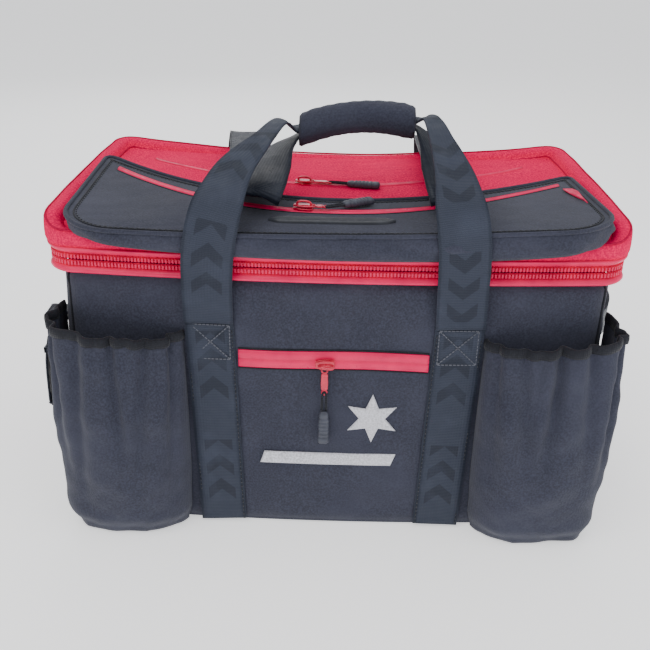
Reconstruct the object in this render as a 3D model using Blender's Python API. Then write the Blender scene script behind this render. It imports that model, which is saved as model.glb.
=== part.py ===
"""Box-shaped kit bag for ice hockey, modelled as its separate sewn and moulded pieces.

Metres, +Z up, +X towards the bag's right end, -Y towards its front. The origin is on the ground
under the middle of the base. Walls, foams, tapes and the lid follow one plan outline: a rounded
rectangle whose four sides bow outwards a little.
"""
import math

import bmesh
import bpy
from mathutils import Vector

# ---------------------------------------------------------------- driving dimensions
GAP = 0.0003              # clearance between pieces that touch
FABRIC = 0.0018           # coated woven polyester
FOAM = 0.0050             # wall padding
LINING = 0.0010

BODY = {"half_x": 0.2225, "half_y": 0.1325, "corner": 0.018, "front": 0.010, "back": 0.004, "end": 0.003}
ZIP = {"half_x": 0.2290, "half_y": 0.1350, "corner": 0.020, "front": 0.011, "back": 0.004, "end": 0.003}
LID = {"half_x": 0.2325, "half_y": 0.1358, "corner": 0.022, "front": 0.011, "back": 0.004, "end": 0.003}

BASE_TOP = 0.0018
BOARD_Z = (0.0024, 0.0054)
BODY_TOP = 0.2405
LOWER_TAPE_Z = (0.2410, 0.2448)
LOWER_TEETH_Z = (0.2451, 0.2503)
UPPER_TEETH_Z = (0.2506, 0.2558)
UPPER_TAPE_Z = (0.2561, 0.2597)
LID_BAND_Z = (0.2600, 0.2715)
LID_HINGE = Vector((0.0, 0.1372, 0.2500))
RIM_RADIUS = 0.0056
RIM_Z = 0.2776

WEBBING_WIDTH = 0.040
WEBBING = 0.0016
STRAP_BASE_X = 0.0953     # strap centre line at the ground
STRAP_SEW_X = 0.1016      # strap centre line at the sew line
SEW_Z = 0.202
FRONT_HANDLE_AXIS = Vector((0.0, -0.1445, SEW_Z))
BACK_SEW_Z = 0.2390
REAR_HANDLE_AXIS = Vector((0.0, 0.1395, 0.2405))

POCKET_HALF_X = 0.215     # lid pocket
POCKET_FRONT_Y = -0.1565
POCKET_BACK_Y = -0.065
POCKET_ZIP_Y = -0.101
POCKET_TOP_Z = 0.2820
POCKET_RISE = 0.0055      # the pocket's top climbs this much 0.2 m from its middle,
POCKET_SWEEP = 0.089      # its zip runs back this much
POCKET_BACK_SWEEP = 0.074     # and its back edge this much
POCKET_FRONT_CORNER = 0.045
POCKET_BACK_CORNER = 0.010
GRAB_STRIP = (-0.004, -0.125, 0.050, 0.0062)     # middle x and y, half length and half width
REAR_ZIP_Y = 0.005
REAR_ZIP_SWEEP = 0.095
SWEEP_AT = 0.200
CORD_HALF = 0.0021        # half width of a pull's cord where it starts

BELLOWS_TOP = 0.197
BELLOWS_WALL = 0.0020
FRONT_ZIP_Z = 0.169
GRIP_HALF_Y, GRIP_HALF_Z, GRIP_WALL = 0.0130, 0.0142, 0.0030
GRIP_STATIONS = (-0.039, -0.025, 0.000, 0.030, 0.055, 0.069)
GATHERED = 0.012          # width of the webbing where the grip gathers it

FINISHES = {              # colour, roughness, metallic
    "charcoal": ((0.045, 0.047, 0.068), 0.85, 0.0),
    "crimson": ((0.75, 0.007, 0.053), 0.75, 0.0),
    "gloss_red": ((0.70, 0.010, 0.050), 0.25, 0.0),
    "webbing": ((0.065, 0.075, 0.093), 0.60, 0.0),
    "lining": ((0.10, 0.10, 0.12), 0.90, 0.0),
    "foam": ((0.15, 0.15, 0.16), 0.95, 0.0),
    "board": ((0.05, 0.05, 0.05), 0.60, 0.0),
    "moulded": ((0.07, 0.075, 0.095), 0.45, 0.0),
    "red_metal": ((0.65, 0.010, 0.060), 0.30, 0.6),
    "satin_thread": ((0.85, 0.85, 0.90), 0.40, 0.0),
}


# ---------------------------------------------------------------- mesh helpers
def clear_scene():
    for old in list(bpy.data.objects):
        bpy.data.objects.remove(old, do_unlink=True)


def finish_material(name, finish):
    colour, roughness, metallic = FINISHES[finish]
    material = bpy.data.materials.new(name + "_finish")
    material.use_nodes = True
    shader = material.node_tree.nodes["Principled BSDF"]
    shader.inputs["Base Color"].default_value = (*colour, 1.0)
    shader.inputs["Roughness"].default_value = roughness
    shader.inputs["Metallic"].default_value = metallic
    return material


def pivot(name, location, parent=None):
    """An empty on a joint's axis; the pieces that move with the joint hang from it."""
    empty = bpy.data.objects.new(name, None)
    empty.empty_display_size = 0.02
    bpy.context.collection.objects.link(empty)
    empty["at"] = list(location)
    if parent is not None:
        empty.parent = parent
        location = Vector(location) - Vector(parent["at"])
    empty.location = location
    return empty


def piece(name, bodies, finish, holder=None, smooth=True):
    """One object from a list of closed bodies, each a list of loops; see loft_into."""
    mesh = bpy.data.meshes.new(name)
    bm = bmesh.new()
    for body in bodies:
        loft_into(bm, **body)
    bmesh.ops.recalc_face_normals(bm, faces=bm.faces)
    offset = Vector(holder["at"]) if holder is not None else Vector()
    bmesh.ops.translate(bm, verts=bm.verts, vec=-offset)
    bm.to_mesh(mesh)
    bm.free()
    if smooth:
        mesh.shade_smooth()
        mesh.set_sharp_from_angle(angle=math.radians(40))
    obj = bpy.data.objects.new(name, mesh)
    obj.data.materials.append(finish_material(name, finish))
    bpy.context.collection.objects.link(obj)
    if holder is not None:
        obj.parent = holder
    return obj


def loft_into(bm, loops, ring=False):
    """Joins loops of equal length with quads. ring joins the last loop to the first;
    without it both ends are capped."""
    rows = [[bm.verts.new(p) for p in loop] for loop in loops]
    count = len(rows[0])
    steps = len(rows) if ring else len(rows) - 1
    for i in range(steps):
        low, high = rows[i], rows[(i + 1) % len(rows)]
        for j in range(count):
            k = (j + 1) % count
            bm.faces.new((low[j], low[k], high[k], high[j]))
    if not ring:
        bm.faces.new(rows[0])
        bm.faces.new(rows[-1])


def prism(points, z0, z1):
    return {"loops": [[(x, y, z) for x, y in points] for z in (z0, z1)]}


def cut(obj, cutter):
    """Cuts obj with a hidden wire cutter by an EXACT Boolean."""
    cutter.hide_render = True
    cutter.display_type = "WIRE"
    modifier = obj.modifiers.new("cut_" + cutter.name, "BOOLEAN")
    modifier.operation = "DIFFERENCE"
    modifier.solver = "EXACT"
    modifier.object = cutter


# ---------------------------------------------------------------- plan outline
SIDES = {"front": (0, -1), "right": (1, 0), "back": (0, 1), "left": (-1, 0)}
SIDE_STEPS = {"front": 12, "right": 6, "back": 10, "left": 6}
CORNER_STEPS = 3          # in each half of a corner


def raw_side(side, plan):
    """Points of one side, from the middle of one corner to the middle of the next, anticlockwise."""
    a, b, r = plan["half_x"], plan["half_y"], plan["corner"]
    nx, ny = SIDES[side]
    along = (-ny, nx)
    half_run, reach = (a, b) if nx == 0 else (b, a)
    bow = plan["front"] if side == "front" else plan["back"] if side == "back" else plan["end"]
    points = []

    def add(s, depth):
        bulge = bow * (1.0 - (s / half_run) ** 2)
        points.append((nx * (depth + bulge) + along[0] * s, ny * (depth + bulge) + along[1] * s))

    for i in range(CORNER_STEPS):
        t = math.radians(45.0 * (1.0 - i / CORNER_STEPS))
        add(-(half_run - r) - r * math.sin(t), reach - r + r * math.cos(t))
    steps = SIDE_STEPS[side]
    for i in range(steps + 1):
        add((half_run - r) * (2.0 * i / steps - 1.0), reach)
    for i in range(1, CORNER_STEPS + 1):
        t = math.radians(45.0 * i / CORNER_STEPS)
        add((half_run - r) + r * math.sin(t), reach - r + r * math.cos(t))
    return points


def outline(plan, offset):
    """Closed outline of all four sides, moved outwards by offset; also says where each side starts."""
    raw, starts = [], {}
    for side in SIDES:
        starts[side] = len(raw)
        raw += raw_side(side, plan)[:-1]
    moved = []
    for i, (x, y) in enumerate(raw):
        px, py = raw[i - 1]
        qx, qy = raw[(i + 1) % len(raw)]
        length = math.hypot(qx - px, qy - py)
        moved.append((x + offset * (qy - py) / length, y - offset * (qx - px) / length))
    return moved, starts


def side_points(plan, offset, side, trim=0.0):
    """One side of the outline, shortened by trim at both ends."""
    points, starts = outline(plan, offset)
    first = starts[side]
    count = SIDE_STEPS[side] + 2 * CORNER_STEPS
    chosen = [Vector(points[(first + i) % len(points)]) for i in range(count + 1)]
    if trim:
        chosen[0] += (chosen[1] - chosen[0]).normalized() * trim
        chosen[-1] += (chosen[-2] - chosen[-1]).normalized() * trim
    return [tuple(p) for p in chosen]


def wall(plan, side, outer, inner, z0, z1):
    """A wall that follows one side of the plan, between two offsets and two heights."""
    out = side_points(plan, outer, side, GAP / 2)
    back = side_points(plan, inner, side, GAP / 2)
    return prism(out + back[::-1], z0, z1)


def hoop(plan, outer, inner, z0, z1):
    """A closed band right round the plan."""
    out, inn = outline(plan, outer)[0], outline(plan, inner)[0]
    rings = [(out, z0), (out, z1), (inn, z1), (inn, z0)]
    return {"loops": [[(x, y, z) for x, y in points] for points, z in rings], "ring": True}


def three_sides(plan, offset, stop_y):
    """The outline's left end, front and right end, stopped at stop_y."""
    points = side_points(plan, offset, "left")[:-1]
    points += side_points(plan, offset, "front")[:-1]
    points += side_points(plan, offset, "right")
    kept = [p for p in points if p[1] < stop_y]
    return [(kept[0][0], stop_y)] + kept + [(kept[-1][0], stop_y)]


ZIP_STOP_Y = 0.112  # where the main zip's tapes end, towards the back of each end panel


def zip_band(outer, inner, z_range):
    points = three_sides(ZIP, outer, ZIP_STOP_Y) + three_sides(ZIP, inner, ZIP_STOP_Y)[::-1]
    return prism(points, *z_range)


def front_y(x, offset=0.0):
    """Y of the body's front face at x."""
    return -(BODY["half_y"] + BODY["front"] * (1.0 - (x / BODY["half_x"]) ** 2) + offset)


def back_y(x, offset=0.0):
    return BODY["half_y"] + BODY["back"] * (1.0 - (x / BODY["half_x"]) ** 2) + offset


# ---------------------------------------------------------------- body of the bag
def make_walls():
    foam_outer = -(FABRIC + GAP)
    foam_inner = foam_outer - FOAM
    for side in SIDES:
        end = "_end" if side in ("left", "right") else ""
        z0 = BASE_TOP + GAP
        piece(f"{side}{end}_panel", [wall(BODY, side, 0.0, -FABRIC, z0, BODY_TOP)], "charcoal")
        piece(f"{side}{end}_foam", [wall(BODY, side, foam_outer, foam_inner, z0, BODY_TOP - 0.002)], "foam")
    piece("base_panel", [prism(outline(BODY, 0.0)[0], 0.0, BASE_TOP)], "charcoal")
    board_edge = foam_inner - GAP
    piece("base_board", [prism(outline(BODY, board_edge)[0], *BOARD_Z)], "board")


def make_lining():
    """An open-topped fabric box inside the foams, standing on the base board."""
    edge = -(FABRIC + FOAM + 3 * GAP)
    out, inn = outline(BODY, edge)[0], outline(BODY, edge - LINING)[0]
    floor = BOARD_Z[1] + GAP
    levels = [(out, floor), (out, BODY_TOP - 0.002), (inn, BODY_TOP - 0.002), (inn, floor + LINING)]
    loops = [[(x, y, z) for x, y in points] for points, z in levels]
    piece("body_lining", [{"loops": loops}], "lining")


def make_zips():
    piece("lower_zip_tape", [zip_band(0.0006, -0.0006, LOWER_TAPE_Z)], "gloss_red")
    piece("lower_zip_teeth", [zip_band(0.0015, -0.0015, LOWER_TEETH_Z)], "gloss_red")
    points = side_points(BODY, GAP, "back")[CORNER_STEPS:-CORNER_STEPS]
    outer = side_points(BODY, GAP + 0.0008, "back")[CORNER_STEPS:-CORNER_STEPS]
    piece("hinge_strip", [prism(outer + points[::-1], 0.2410, 0.2560)], "crimson")
    front = side_points(BODY, GAP, "front")
    outer = side_points(BODY, GAP + 0.0012, "front")
    low, high = FRONT_ZIP_Z - 0.008, FRONT_ZIP_Z + 0.008
    inside = [i for i, p in enumerate(front) if abs(p[0]) < 0.0790]
    strip = [outer[i] for i in inside] + [front[i] for i in reversed(inside)]
    piece("front_zip_tape", [prism(strip, low, high)], "gloss_red")


def strap_x(z, sew_z):
    return STRAP_BASE_X + (STRAP_SEW_X - STRAP_BASE_X) * z / sew_z


def sewn_strap(sign, face_y, sew_z):
    """A flat strap sewn to one face, leaning outwards as it climbs."""
    loops = []
    for z in (0.0035, 0.5 * sew_z, sew_z):
        centre = sign * strap_x(z, sew_z)
        edges = (centre - WEBBING_WIDTH / 2, centre + WEBBING_WIDTH / 2)
        inner = [(x, face_y(x, 0.0006), z) for x in edges]
        outer = [(x, face_y(x, 0.0006 + WEBBING), z) for x in reversed(edges)]
        loops.append(inner + outer)
    return {"loops": loops}


def make_sewn_webbing():
    for name, face_y, sew_z in (("front", front_y, SEW_Z), ("back", back_y, BACK_SEW_Z)):
        for side, sign in (("left", -1), ("right", 1)):
            piece(f"{name}_{side}_webbing", [sewn_strap(sign, face_y, sew_z)], "webbing")


# ---------------------------------------------------------------- bellows pockets
BELLOWS_PLAN = [(-0.2262, -0.1160), (-0.2335, -0.1290), (-0.2350, -0.1450), (-0.2270, -0.1600),
                (-0.2060, -0.1690), (-0.1760, -0.1715), (-0.1480, -0.1680), (-0.1310, -0.1590),
                (-0.1235, -0.1470)]
BELLOWS_FULLNESS = ((0.0010, 0.70), (0.0300, 0.88), (0.0800, 1.0), (0.1300, 0.97), (BELLOWS_TOP, 0.80))


def bellows_loop(sign, fullness, inset, z):
    """The pouch's plan at one height; its ends run back into the body, which is cut away."""
    centre = Vector((-0.176, -0.135))
    loop = []
    for x, y in BELLOWS_PLAN:
        away = Vector((x, y)) - centre
        shrink = 1.0 - inset / away.length
        loop.append((sign * -(centre.x + away.x * shrink * (0.85 + 0.15 * fullness)),
                     centre.y + away.y * shrink * (fullness if y < centre.y else 1.0), z))
    loop.append((sign * -(BELLOWS_PLAN[-1][0] - inset), -0.1250, z))
    loop.append((sign * -(BELLOWS_PLAN[0][0] + inset + 0.004), -0.1000, z))
    return loop


def body_cutter(name):
    """The room that the body takes, as a cutter for the pockets sewn to its face."""
    return piece(name, [prism(outline(BODY, 0.0008)[0], -0.01, 0.26)], "charcoal")


def make_bellows(side, sign, cutter):
    outer = [bellows_loop(sign, full, 0.0, z) for z, full in BELLOWS_FULLNESS]
    pouch = piece(f"{side}_bellows_pocket", [{"loops": outer}], "charcoal")
    bottom, top = (0.0035, BELLOWS_FULLNESS[0][1]), (0.21, BELLOWS_FULLNESS[-1][1])
    levels = [bottom] + list(BELLOWS_FULLNESS[1:-1]) + [top]
    inner = [bellows_loop(sign, full, BELLOWS_WALL, z) for z, full in levels]
    hollow = piece(f"{side}_bellows_hollow", [{"loops": inner}], "charcoal")
    cut(pouch, cutter)
    cut(pouch, hollow)
    top = BELLOWS_FULLNESS[-1][1]
    z0, z1 = BELLOWS_TOP + GAP, BELLOWS_TOP + 0.0065
    rim = [bellows_loop(sign, top, 0.0, z) for z in (z0, z1)]
    binding = piece(f"{side}_pocket_binding", [{"loops": rim}], "charcoal")
    cut(binding, cutter)
    cut(binding, hollow)


# ---------------------------------------------------------------- lid
def make_lid_shell(holder):
    piece("lid_band", [hoop(LID, 0.0, -FABRIC, *LID_BAND_Z)], "crimson", holder)
    inside = outline(LID, -(FABRIC + GAP))[0]
    panel_bottom = LID_BAND_Z[1] - FABRIC
    piece("lid_panel", [prism(inside, panel_bottom, LID_BAND_Z[1])], "crimson", holder)
    piece("lid_foam", [prism(inside, 0.2616, panel_bottom - GAP)], "foam", holder)
    piece("lid_lining", [prism(inside, 0.2603, 0.2613)], "lining", holder)
    piece("upper_zip_tape", [zip_band(0.0006, -0.0006, UPPER_TAPE_Z)], "gloss_red", holder)
    piece("upper_zip_teeth", [zip_band(0.0015, -0.0015, UPPER_TEETH_Z)], "gloss_red", holder)


def tube(path, radius, sides=8, closed=False):
    """A round tube along a path of points."""
    path = [Vector(p) for p in path]
    count = len(path)
    loops = []
    up = Vector((0, 0, 1))
    for i, point in enumerate(path):
        before = path[i - 1] if closed or i else point
        after = path[(i + 1) % count] if closed or i < count - 1 else point
        tangent = (after - before).normalized()
        across = tangent.cross(up)
        if across.length < 0.2:
            across = tangent.cross(Vector((0, 1, 0)))
        across.normalize()
        over = across.cross(tangent)
        turns = [2 * math.pi * (k + 0.5) / sides for k in range(sides)]
        loops.append([point + radius * (math.cos(t) * across + math.sin(t) * over) for t in turns])
    return {"loops": loops, "ring": closed}


def make_rim(holder):
    """Padded roll along the lid's ends and back; the lid pocket covers the front edge."""
    points, starts = outline(LID, -RIM_RADIUS - 0.0003)
    order = points[starts["right"]:] + points[:starts["right"]]
    chosen = [(x, y, RIM_Z) for x, y in order if y > -0.118]
    piece("lid_rim_roll", [tube(chosen, RIM_RADIUS)], "crimson", holder)


def sag(x):
    """How far a lid curve has run from its middle, 1 at SWEEP_AT."""
    return (x / SWEEP_AT) ** 2


def pocket_top(x):
    return POCKET_TOP_Z + POCKET_RISE * sag(x)


def come_in(x, radius):
    """How far a rounded corner of the lid pocket has come in at x."""
    over = max(0.0, abs(x) - (POCKET_HALF_X - radius))
    return radius - math.sqrt(max(0.0, radius ** 2 - over ** 2))


def pocket_edges(x):
    """The lid pocket's front and back edges at x."""
    front = POCKET_FRONT_Y + come_in(x, POCKET_FRONT_CORNER)
    back = POCKET_BACK_Y + POCKET_BACK_SWEEP * sag(x) - come_in(x, POCKET_BACK_CORNER)
    return front, back


POCKET_STATIONS = [s * x for s, xs in ((-1, (0.215, 0.213, 0.208, 0.200, 0.185, 0.160, 0.120, 0.080, 0.040)),
                                       (1, (0.0, 0.040, 0.080, 0.120, 0.160, 0.185, 0.200,
                                            0.208, 0.213, 0.215)))
                   for x in xs]


def pocket_slab(inset, low, high, stations):
    loops = []
    for x in stations:
        front, back = pocket_edges(x)
        front, back = front + inset, back - inset
        z0, z1 = low(x), high(x)
        loops.append([(x, front, z0), (x, back, z0), (x, back, z1), (x, front, z1)])
    return {"loops": loops}


def zip_strip(y_at, top_at, half_width, stations):
    loops = []
    for x in stations:
        y, z = y_at(x), top_at(x) + GAP
        loops.append([(x, y - half_width, z), (x, y + half_width, z),
                      (x, y + half_width, z + 0.0009), (x, y - half_width, z + 0.0009)])
    return {"loops": loops}


def make_lid_pocket(holder):
    floor = LID_BAND_Z[1] + GAP
    cover = 0.0016
    body = pocket_slab(0.0, lambda x: floor, lambda x: pocket_top(x) - cover - GAP, POCKET_STATIONS)
    piece("lid_pocket_body", [body], "charcoal", holder)
    inner = POCKET_STATIONS[2:-2]
    top = pocket_slab(0.0050, lambda x: pocket_top(x) - cover, pocket_top, inner[1:-1])
    piece("lid_pocket_top", [top], "charcoal", holder)
    bead = 0.0012
    edge = [(x, pocket_edges(x)[0] + bead, pocket_top(x) - cover + bead) for x in inner]
    edge += [(x, pocket_edges(x)[1] - bead, pocket_top(x) - cover + bead) for x in reversed(inner)]
    end_x = 0.2115
    front, back = pocket_edges(end_x)
    ends = [(sign * end_x, front + (back - front) * along, pocket_top(end_x) - cover + bead)
            for sign, along in ((1, 0.12), (1, 0.90), (-1, 0.90), (-1, 0.12))]
    count = len(inner)
    route = edge[:count] + ends[:2] + edge[count:] + ends[2:]
    piece("lid_pocket_piping", [tube(route, bead, 6, closed=True)], "charcoal", holder)
    zipped = [x for x in POCKET_STATIONS if abs(x) < 0.190]
    strip = zip_strip(pocket_zip_y, pocket_top, 0.004, zipped)
    piece("lid_pocket_zip_tape", [strip], "gloss_red", holder)
    strip = zip_strip(rear_zip_y, lambda x: LID_BAND_Z[1], 0.004, zipped)
    piece("lid_rear_zip_tape", [strip], "gloss_red", holder)


def pocket_zip_y(x):
    return POCKET_ZIP_Y + POCKET_SWEEP * sag(x)


def rear_zip_y(x):
    return REAR_ZIP_Y + REAR_ZIP_SWEEP * sag(x)


def make_lid_trim(holder):
    """Moulded grab strip with pointed ends."""
    centre_x, y, half, width = GRAB_STRIP
    z0 = pocket_top(half + 0.010) + GAP
    plan = [(-half, 0), (-half + 0.008, -width), (half - 0.008, -width), (half, 0),
            (half - 0.008, width), (-half + 0.008, width)]
    strip = prism([(centre_x + px, y + py) for px, py in plan], z0, z0 + 0.0030)
    piece("lid_grab_strip", [strip], "moulded", holder)


# ---------------------------------------------------------------- sliders and pulls
def turned(body, frame, origin):
    """A body drawn along local +X with local +Z up, laid into frame (three axes) at origin."""
    ax, ay, az = frame
    loops = [[Vector(origin) + x * ax + y * ay + z * az for x, y, z in loop] for loop in body["loops"]]
    return {"loops": loops, "ring": body.get("ring", False)}


def slider_body(half_long=0.0080, half_wide=0.0045, high=0.0042):
    """Wedge-shaped slider housing, narrower at its tail."""
    plan = [(-half_long, -half_wide * 0.6), (half_long * 0.3, -half_wide), (half_long, -half_wide * 0.7),
            (half_long, half_wide * 0.7), (half_long * 0.3, half_wide), (-half_long, half_wide * 0.6)]
    return prism(plan, 0.0, high)


def pull_tab(length):
    """Flat metal tab that hangs from the slider's bridge."""
    plan = [(0.0, -0.0016), (0.004, -0.0030), (length - 0.003, -0.0030), (length, -0.0018),
            (length, 0.0018), (length - 0.003, 0.0030), (0.004, 0.0030), (0.0, 0.0016)]
    return prism(plan, -0.0007, 0.0007)


def pull_end(start, cord, length):
    """A doubled cord and the moulded end on it, thicker and rounded towards its tip."""
    loops = []
    stations = [(start + GAP, CORD_HALF, 0.0008), (start + cord * 0.6, 0.0028, 0.0008),
                (start + cord, 0.0026, 0.0008)]
    stations += [(start + cord + s * length, wide, thick) for s, wide, thick in
                 ((0.01, 0.0030, 0.0018), (0.08, 0.0042, 0.0026), (0.5, 0.0046, 0.0029),
                  (0.92, 0.0048, 0.0028), (1.0, 0.0032, 0.0016))]
    for x, wide, thick in stations:
        corners = [(-wide, -thick * 0.5), (-wide * 0.7, -thick), (wide * 0.7, -thick), (wide, -thick * 0.5),
                   (wide, thick * 0.5), (wide * 0.7, thick), (-wide * 0.7, thick), (-wide, thick * 0.5)]
        loops.append([(x, y, z) for y, z in corners])
    return {"loops": loops}


def make_slider(name, holder, frame, origin, pull_at, pull_frame, tab=0.020, cord=0.014, end=0.032,
                turn=0.0):
    """A slider, its red tab, its cord and its moulded end; the last three hang from their own pivot.

    The cord leaves the tab's tip turned by an angle of turn degrees.
    """
    run = pivot(f"{name}_slider_run", origin, holder)
    piece(f"{name}_slider", [turned(slider_body(), frame, origin)], "red_metal", run)
    swing = pivot(f"{name}_pull_swing", pull_at, run)
    piece(f"{name}_pull_tab", [turned(pull_tab(tab), pull_frame, pull_at)], "red_metal", swing)
    ax, ay, az = pull_frame
    bend = math.radians(turn)
    cord_frame = (ax * math.cos(bend) + ay * math.sin(bend), ay * math.cos(bend) - ax * math.sin(bend), az)
    drawn = pull_end(CORD_HALF * math.tan(bend), cord, end)
    piece(f"{name}_pull", [turned(drawn, cord_frame, Vector(pull_at) + ax * tab)], "moulded", swing)


def arc_frame(x, y_sweep, z_rise):
    """Axes of a slider on a lid curve at x: along the curve, across it and up."""
    along = Vector((1.0, 2 * y_sweep * x / SWEEP_AT ** 2, 2 * z_rise * x / SWEEP_AT ** 2)).normalized()
    up = (Vector((0, 0, 1)) - along * along.z).normalized()
    return along, up.cross(along), up


def make_sliders(lid):
    x = -0.028
    frame = arc_frame(x, POCKET_SWEEP, POCKET_RISE)
    top = pocket_top(x) + 0.0016
    origin = (x, pocket_zip_y(x), top)
    hinge = Vector(origin) + frame[0] * 0.0090 + frame[2] * 0.0036
    make_slider("lid_pocket", lid, frame, origin, hinge, frame, tab=0.012, cord=0.012, end=0.028,
                turn=38.0)

    x = -0.032
    frame = arc_frame(x, REAR_ZIP_SWEEP, 0.0)
    origin = (x, rear_zip_y(x), LID_BAND_Z[1] + 0.0016)
    hinge = Vector(origin) + frame[0] * 0.0090 + frame[2] * 0.0036
    make_slider("lid_rear", lid, frame, origin, hinge, frame, tab=0.018, cord=0.014, end=0.030)

    down = (Vector((0, 0, -1)), Vector((1, 0, 0)), Vector((0, -1, 0)))
    across = (Vector((1, 0, 0)), Vector((0, 0, 1)), Vector((0, -1, 0)))
    x = -0.007
    origin = (x, front_y(0.0, 0.0018), FRONT_ZIP_Z - 0.002)
    hinge = (x, front_y(0.0, 0.0060), FRONT_ZIP_Z - 0.0075)
    make_slider("front_pocket", None, across, origin, hinge, down, tab=0.022, cord=0.016, end=0.032)

    for name, sign in (("main_front", -1), ("main_back", 1)):
        face = ZIP["half_x"] + ZIP["end"] + 0.0019
        along = (Vector((0, -sign, 0)), Vector((0, 0, sign)), Vector((1, 0, 0)))
        origin = (face, sign * 0.012, 0.2504)
        hinge = (face + 0.0042, sign * 0.012, 0.2445)
        hang = (Vector((0, 0, -1)), Vector((0, 1, 0)), Vector((1, 0, 0)))
        make_slider(name, None, along, origin, hinge, hang, tab=0.014, cord=0.006, end=0.020)


# ---------------------------------------------------------------- carry handles and grip
def smooth_route(points, steps=3):
    """A Catmull-Rom curve through the points."""
    points = [Vector(p) for p in points]
    ends = [2 * points[0] - points[1]] + points + [2 * points[-1] - points[-2]]
    route = []
    for a, b, c, d in zip(ends, ends[1:], ends[2:], ends[3:]):
        for i in range(steps):
            t = i / steps
            route.append(0.5 * ((2 * b) + (c - a) * t + (2 * a - 5 * b + 4 * c - d) * t ** 2
                                + (3 * b - a - 3 * c + d) * t ** 3))
    return route + [points[-1]]


def band(route, widths, aims):
    """A flat strap along route; each width and the direction it lies in change along the way."""
    loops = []
    last = len(route) - 1
    for i, point in enumerate(route):
        tangent = (route[min(i + 1, last)] - route[max(i - 1, 0)]).normalized()
        aim = aims[i] - tangent * aims[i].dot(tangent)
        across = aim.normalized()
        normal = tangent.cross(across)
        half, thick = widths[i] / 2, WEBBING / 2
        loops.append([point + across * a * half + normal * n * thick
                      for a, n in ((-1, -1), (1, -1), (1, 1), (-1, 1))])
    return {"loops": loops}


def grip_centre(x):
    """The grip's centre line: arched, and a little higher at its right end."""
    s = (x - 0.015) / 0.049
    return Vector((x, -0.0200, 0.3423 - 0.0082 * s * s + 0.0044 * s))


def make_handle(name, holder, left, right, lift):
    """One strap from its left sew line, flat through the grip at a height of lift, to its right one."""
    inside = [grip_centre(x) + Vector((0, 0, lift)) for x in GRIP_STATIONS]
    route = [Vector(p) for p in left] + inside + [Vector(p) for p in reversed(right)]
    rightwards, forwards = Vector((1, 0, 0)), Vector((0, -1, 0))
    aims = [rightwards] * (len(left) - 1) + [(rightwards + forwards).normalized()]
    aims += [forwards] * len(inside)
    aims += [(forwards - rightwards).normalized()] + [-rightwards] * (len(right) - 1)
    widths = [WEBBING_WIDTH] * (len(left) - 1) + [0.026] + [GATHERED] * len(inside)
    widths += [0.026] + [WEBBING_WIDTH] * (len(right) - 1)
    steps = 3
    fine = smooth_route(route, steps)
    fine_aims, fine_widths = [], []
    for i in range(len(fine)):
        k, t = divmod(i, steps)
        after = min(k + 1, len(route) - 1)
        fine_aims.append(aims[k].lerp(aims[after], t / steps))
        fine_widths.append(widths[k] + (widths[after] - widths[k]) * t / steps)
    piece(name, [band(fine, fine_widths, fine_aims)], "webbing", holder)


FRONT_LEFT = [(-0.1016, -0.1450, 0.2030), (-0.1010, -0.1500, 0.2320), (-0.0985, -0.1582, 0.2620),
              (-0.0945, -0.1592, 0.2860), (-0.0890, -0.1510, 0.3060), (-0.0800, -0.1220, 0.3230),
              (-0.0660, -0.0850, 0.3370), (-0.0540, -0.0480, 0.3430)]
FRONT_RIGHT = [(0.1016, -0.1450, 0.2030), (0.1000, -0.1500, 0.2320), (0.0980, -0.1582, 0.2620),
               (0.0955, -0.1592, 0.2860), (0.0920, -0.1510, 0.3060), (0.0890, -0.1220, 0.3230),
               (0.0870, -0.0850, 0.3400), (0.0830, -0.0480, 0.3480)]
REAR_LEFT = [(-0.1016, 0.1398, 0.2400), (-0.1000, 0.1440, 0.2640), (-0.0980, 0.1440, 0.2800),
             (-0.0950, 0.1340, 0.2905), (-0.0900, 0.0900, 0.2930), (-0.0820, 0.0200, 0.2945),
             (-0.0740, -0.0500, 0.2930), (-0.0690, -0.0950, 0.2930), (-0.0650, -0.1100, 0.2985),
             (-0.0610, -0.1000, 0.3060), (-0.0570, -0.0700, 0.3120), (-0.0510, -0.0400, 0.3180)]
REAR_RIGHT = [(0.1016, 0.1398, 0.2400), (0.1010, 0.1440, 0.2640), (0.1000, 0.1440, 0.2800),
              (0.0990, 0.1340, 0.2905), (0.0980, 0.0900, 0.2930), (0.0970, 0.0200, 0.2945),
              (0.0960, -0.0500, 0.2930), (0.0950, -0.0950, 0.2930), (0.0930, -0.1100, 0.2985),
              (0.0900, -0.1000, 0.3060), (0.0860, -0.0700, 0.3140), (0.0800, -0.0400, 0.3240)]


def grip_section(x, scale):
    """A sleeve's section: an ellipse with a slit along its lower front, where its two edges close."""
    centre = grip_centre(x)
    turns = [math.radians(a) for a in range(-125, 216, 20)]
    loop = []
    for wall_in, order in ((0.0, turns), (GRIP_WALL, turns[::-1])):
        for t in order:
            y = (GRIP_HALF_Y * scale - wall_in) * math.cos(t)
            z = (GRIP_HALF_Z * scale - wall_in) * math.sin(t)
            loop.append((x, centre.y + y, centre.z + z))
    return loop


def make_grip(holder):
    stations = [(-0.034, 1.0), (-0.020, 0.97), (0.000, 0.93), (0.015, 0.91),
                (0.030, 0.93), (0.050, 0.97), (0.064, 1.0)]
    piece("grip_wrap", [{"loops": [grip_section(x, s) for x, s in stations]}], "charcoal", holder)


# ---------------------------------------------------------------- fittings on the two ends
def arc_points(cx, cy, radius, start, stop, steps):
    turns = [math.radians(start + (stop - start) * i / steps) for i in range(steps + 1)]
    return [(cx + radius * math.cos(t), cy + radius * math.sin(t)) for t in turns]


def side_prism(points, y0, y1):
    """A profile drawn in X and Z, pushed along Y."""
    return {"loops": [[(x, y, z) for x, z in points] for y in (y0, y1)]}


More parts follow.
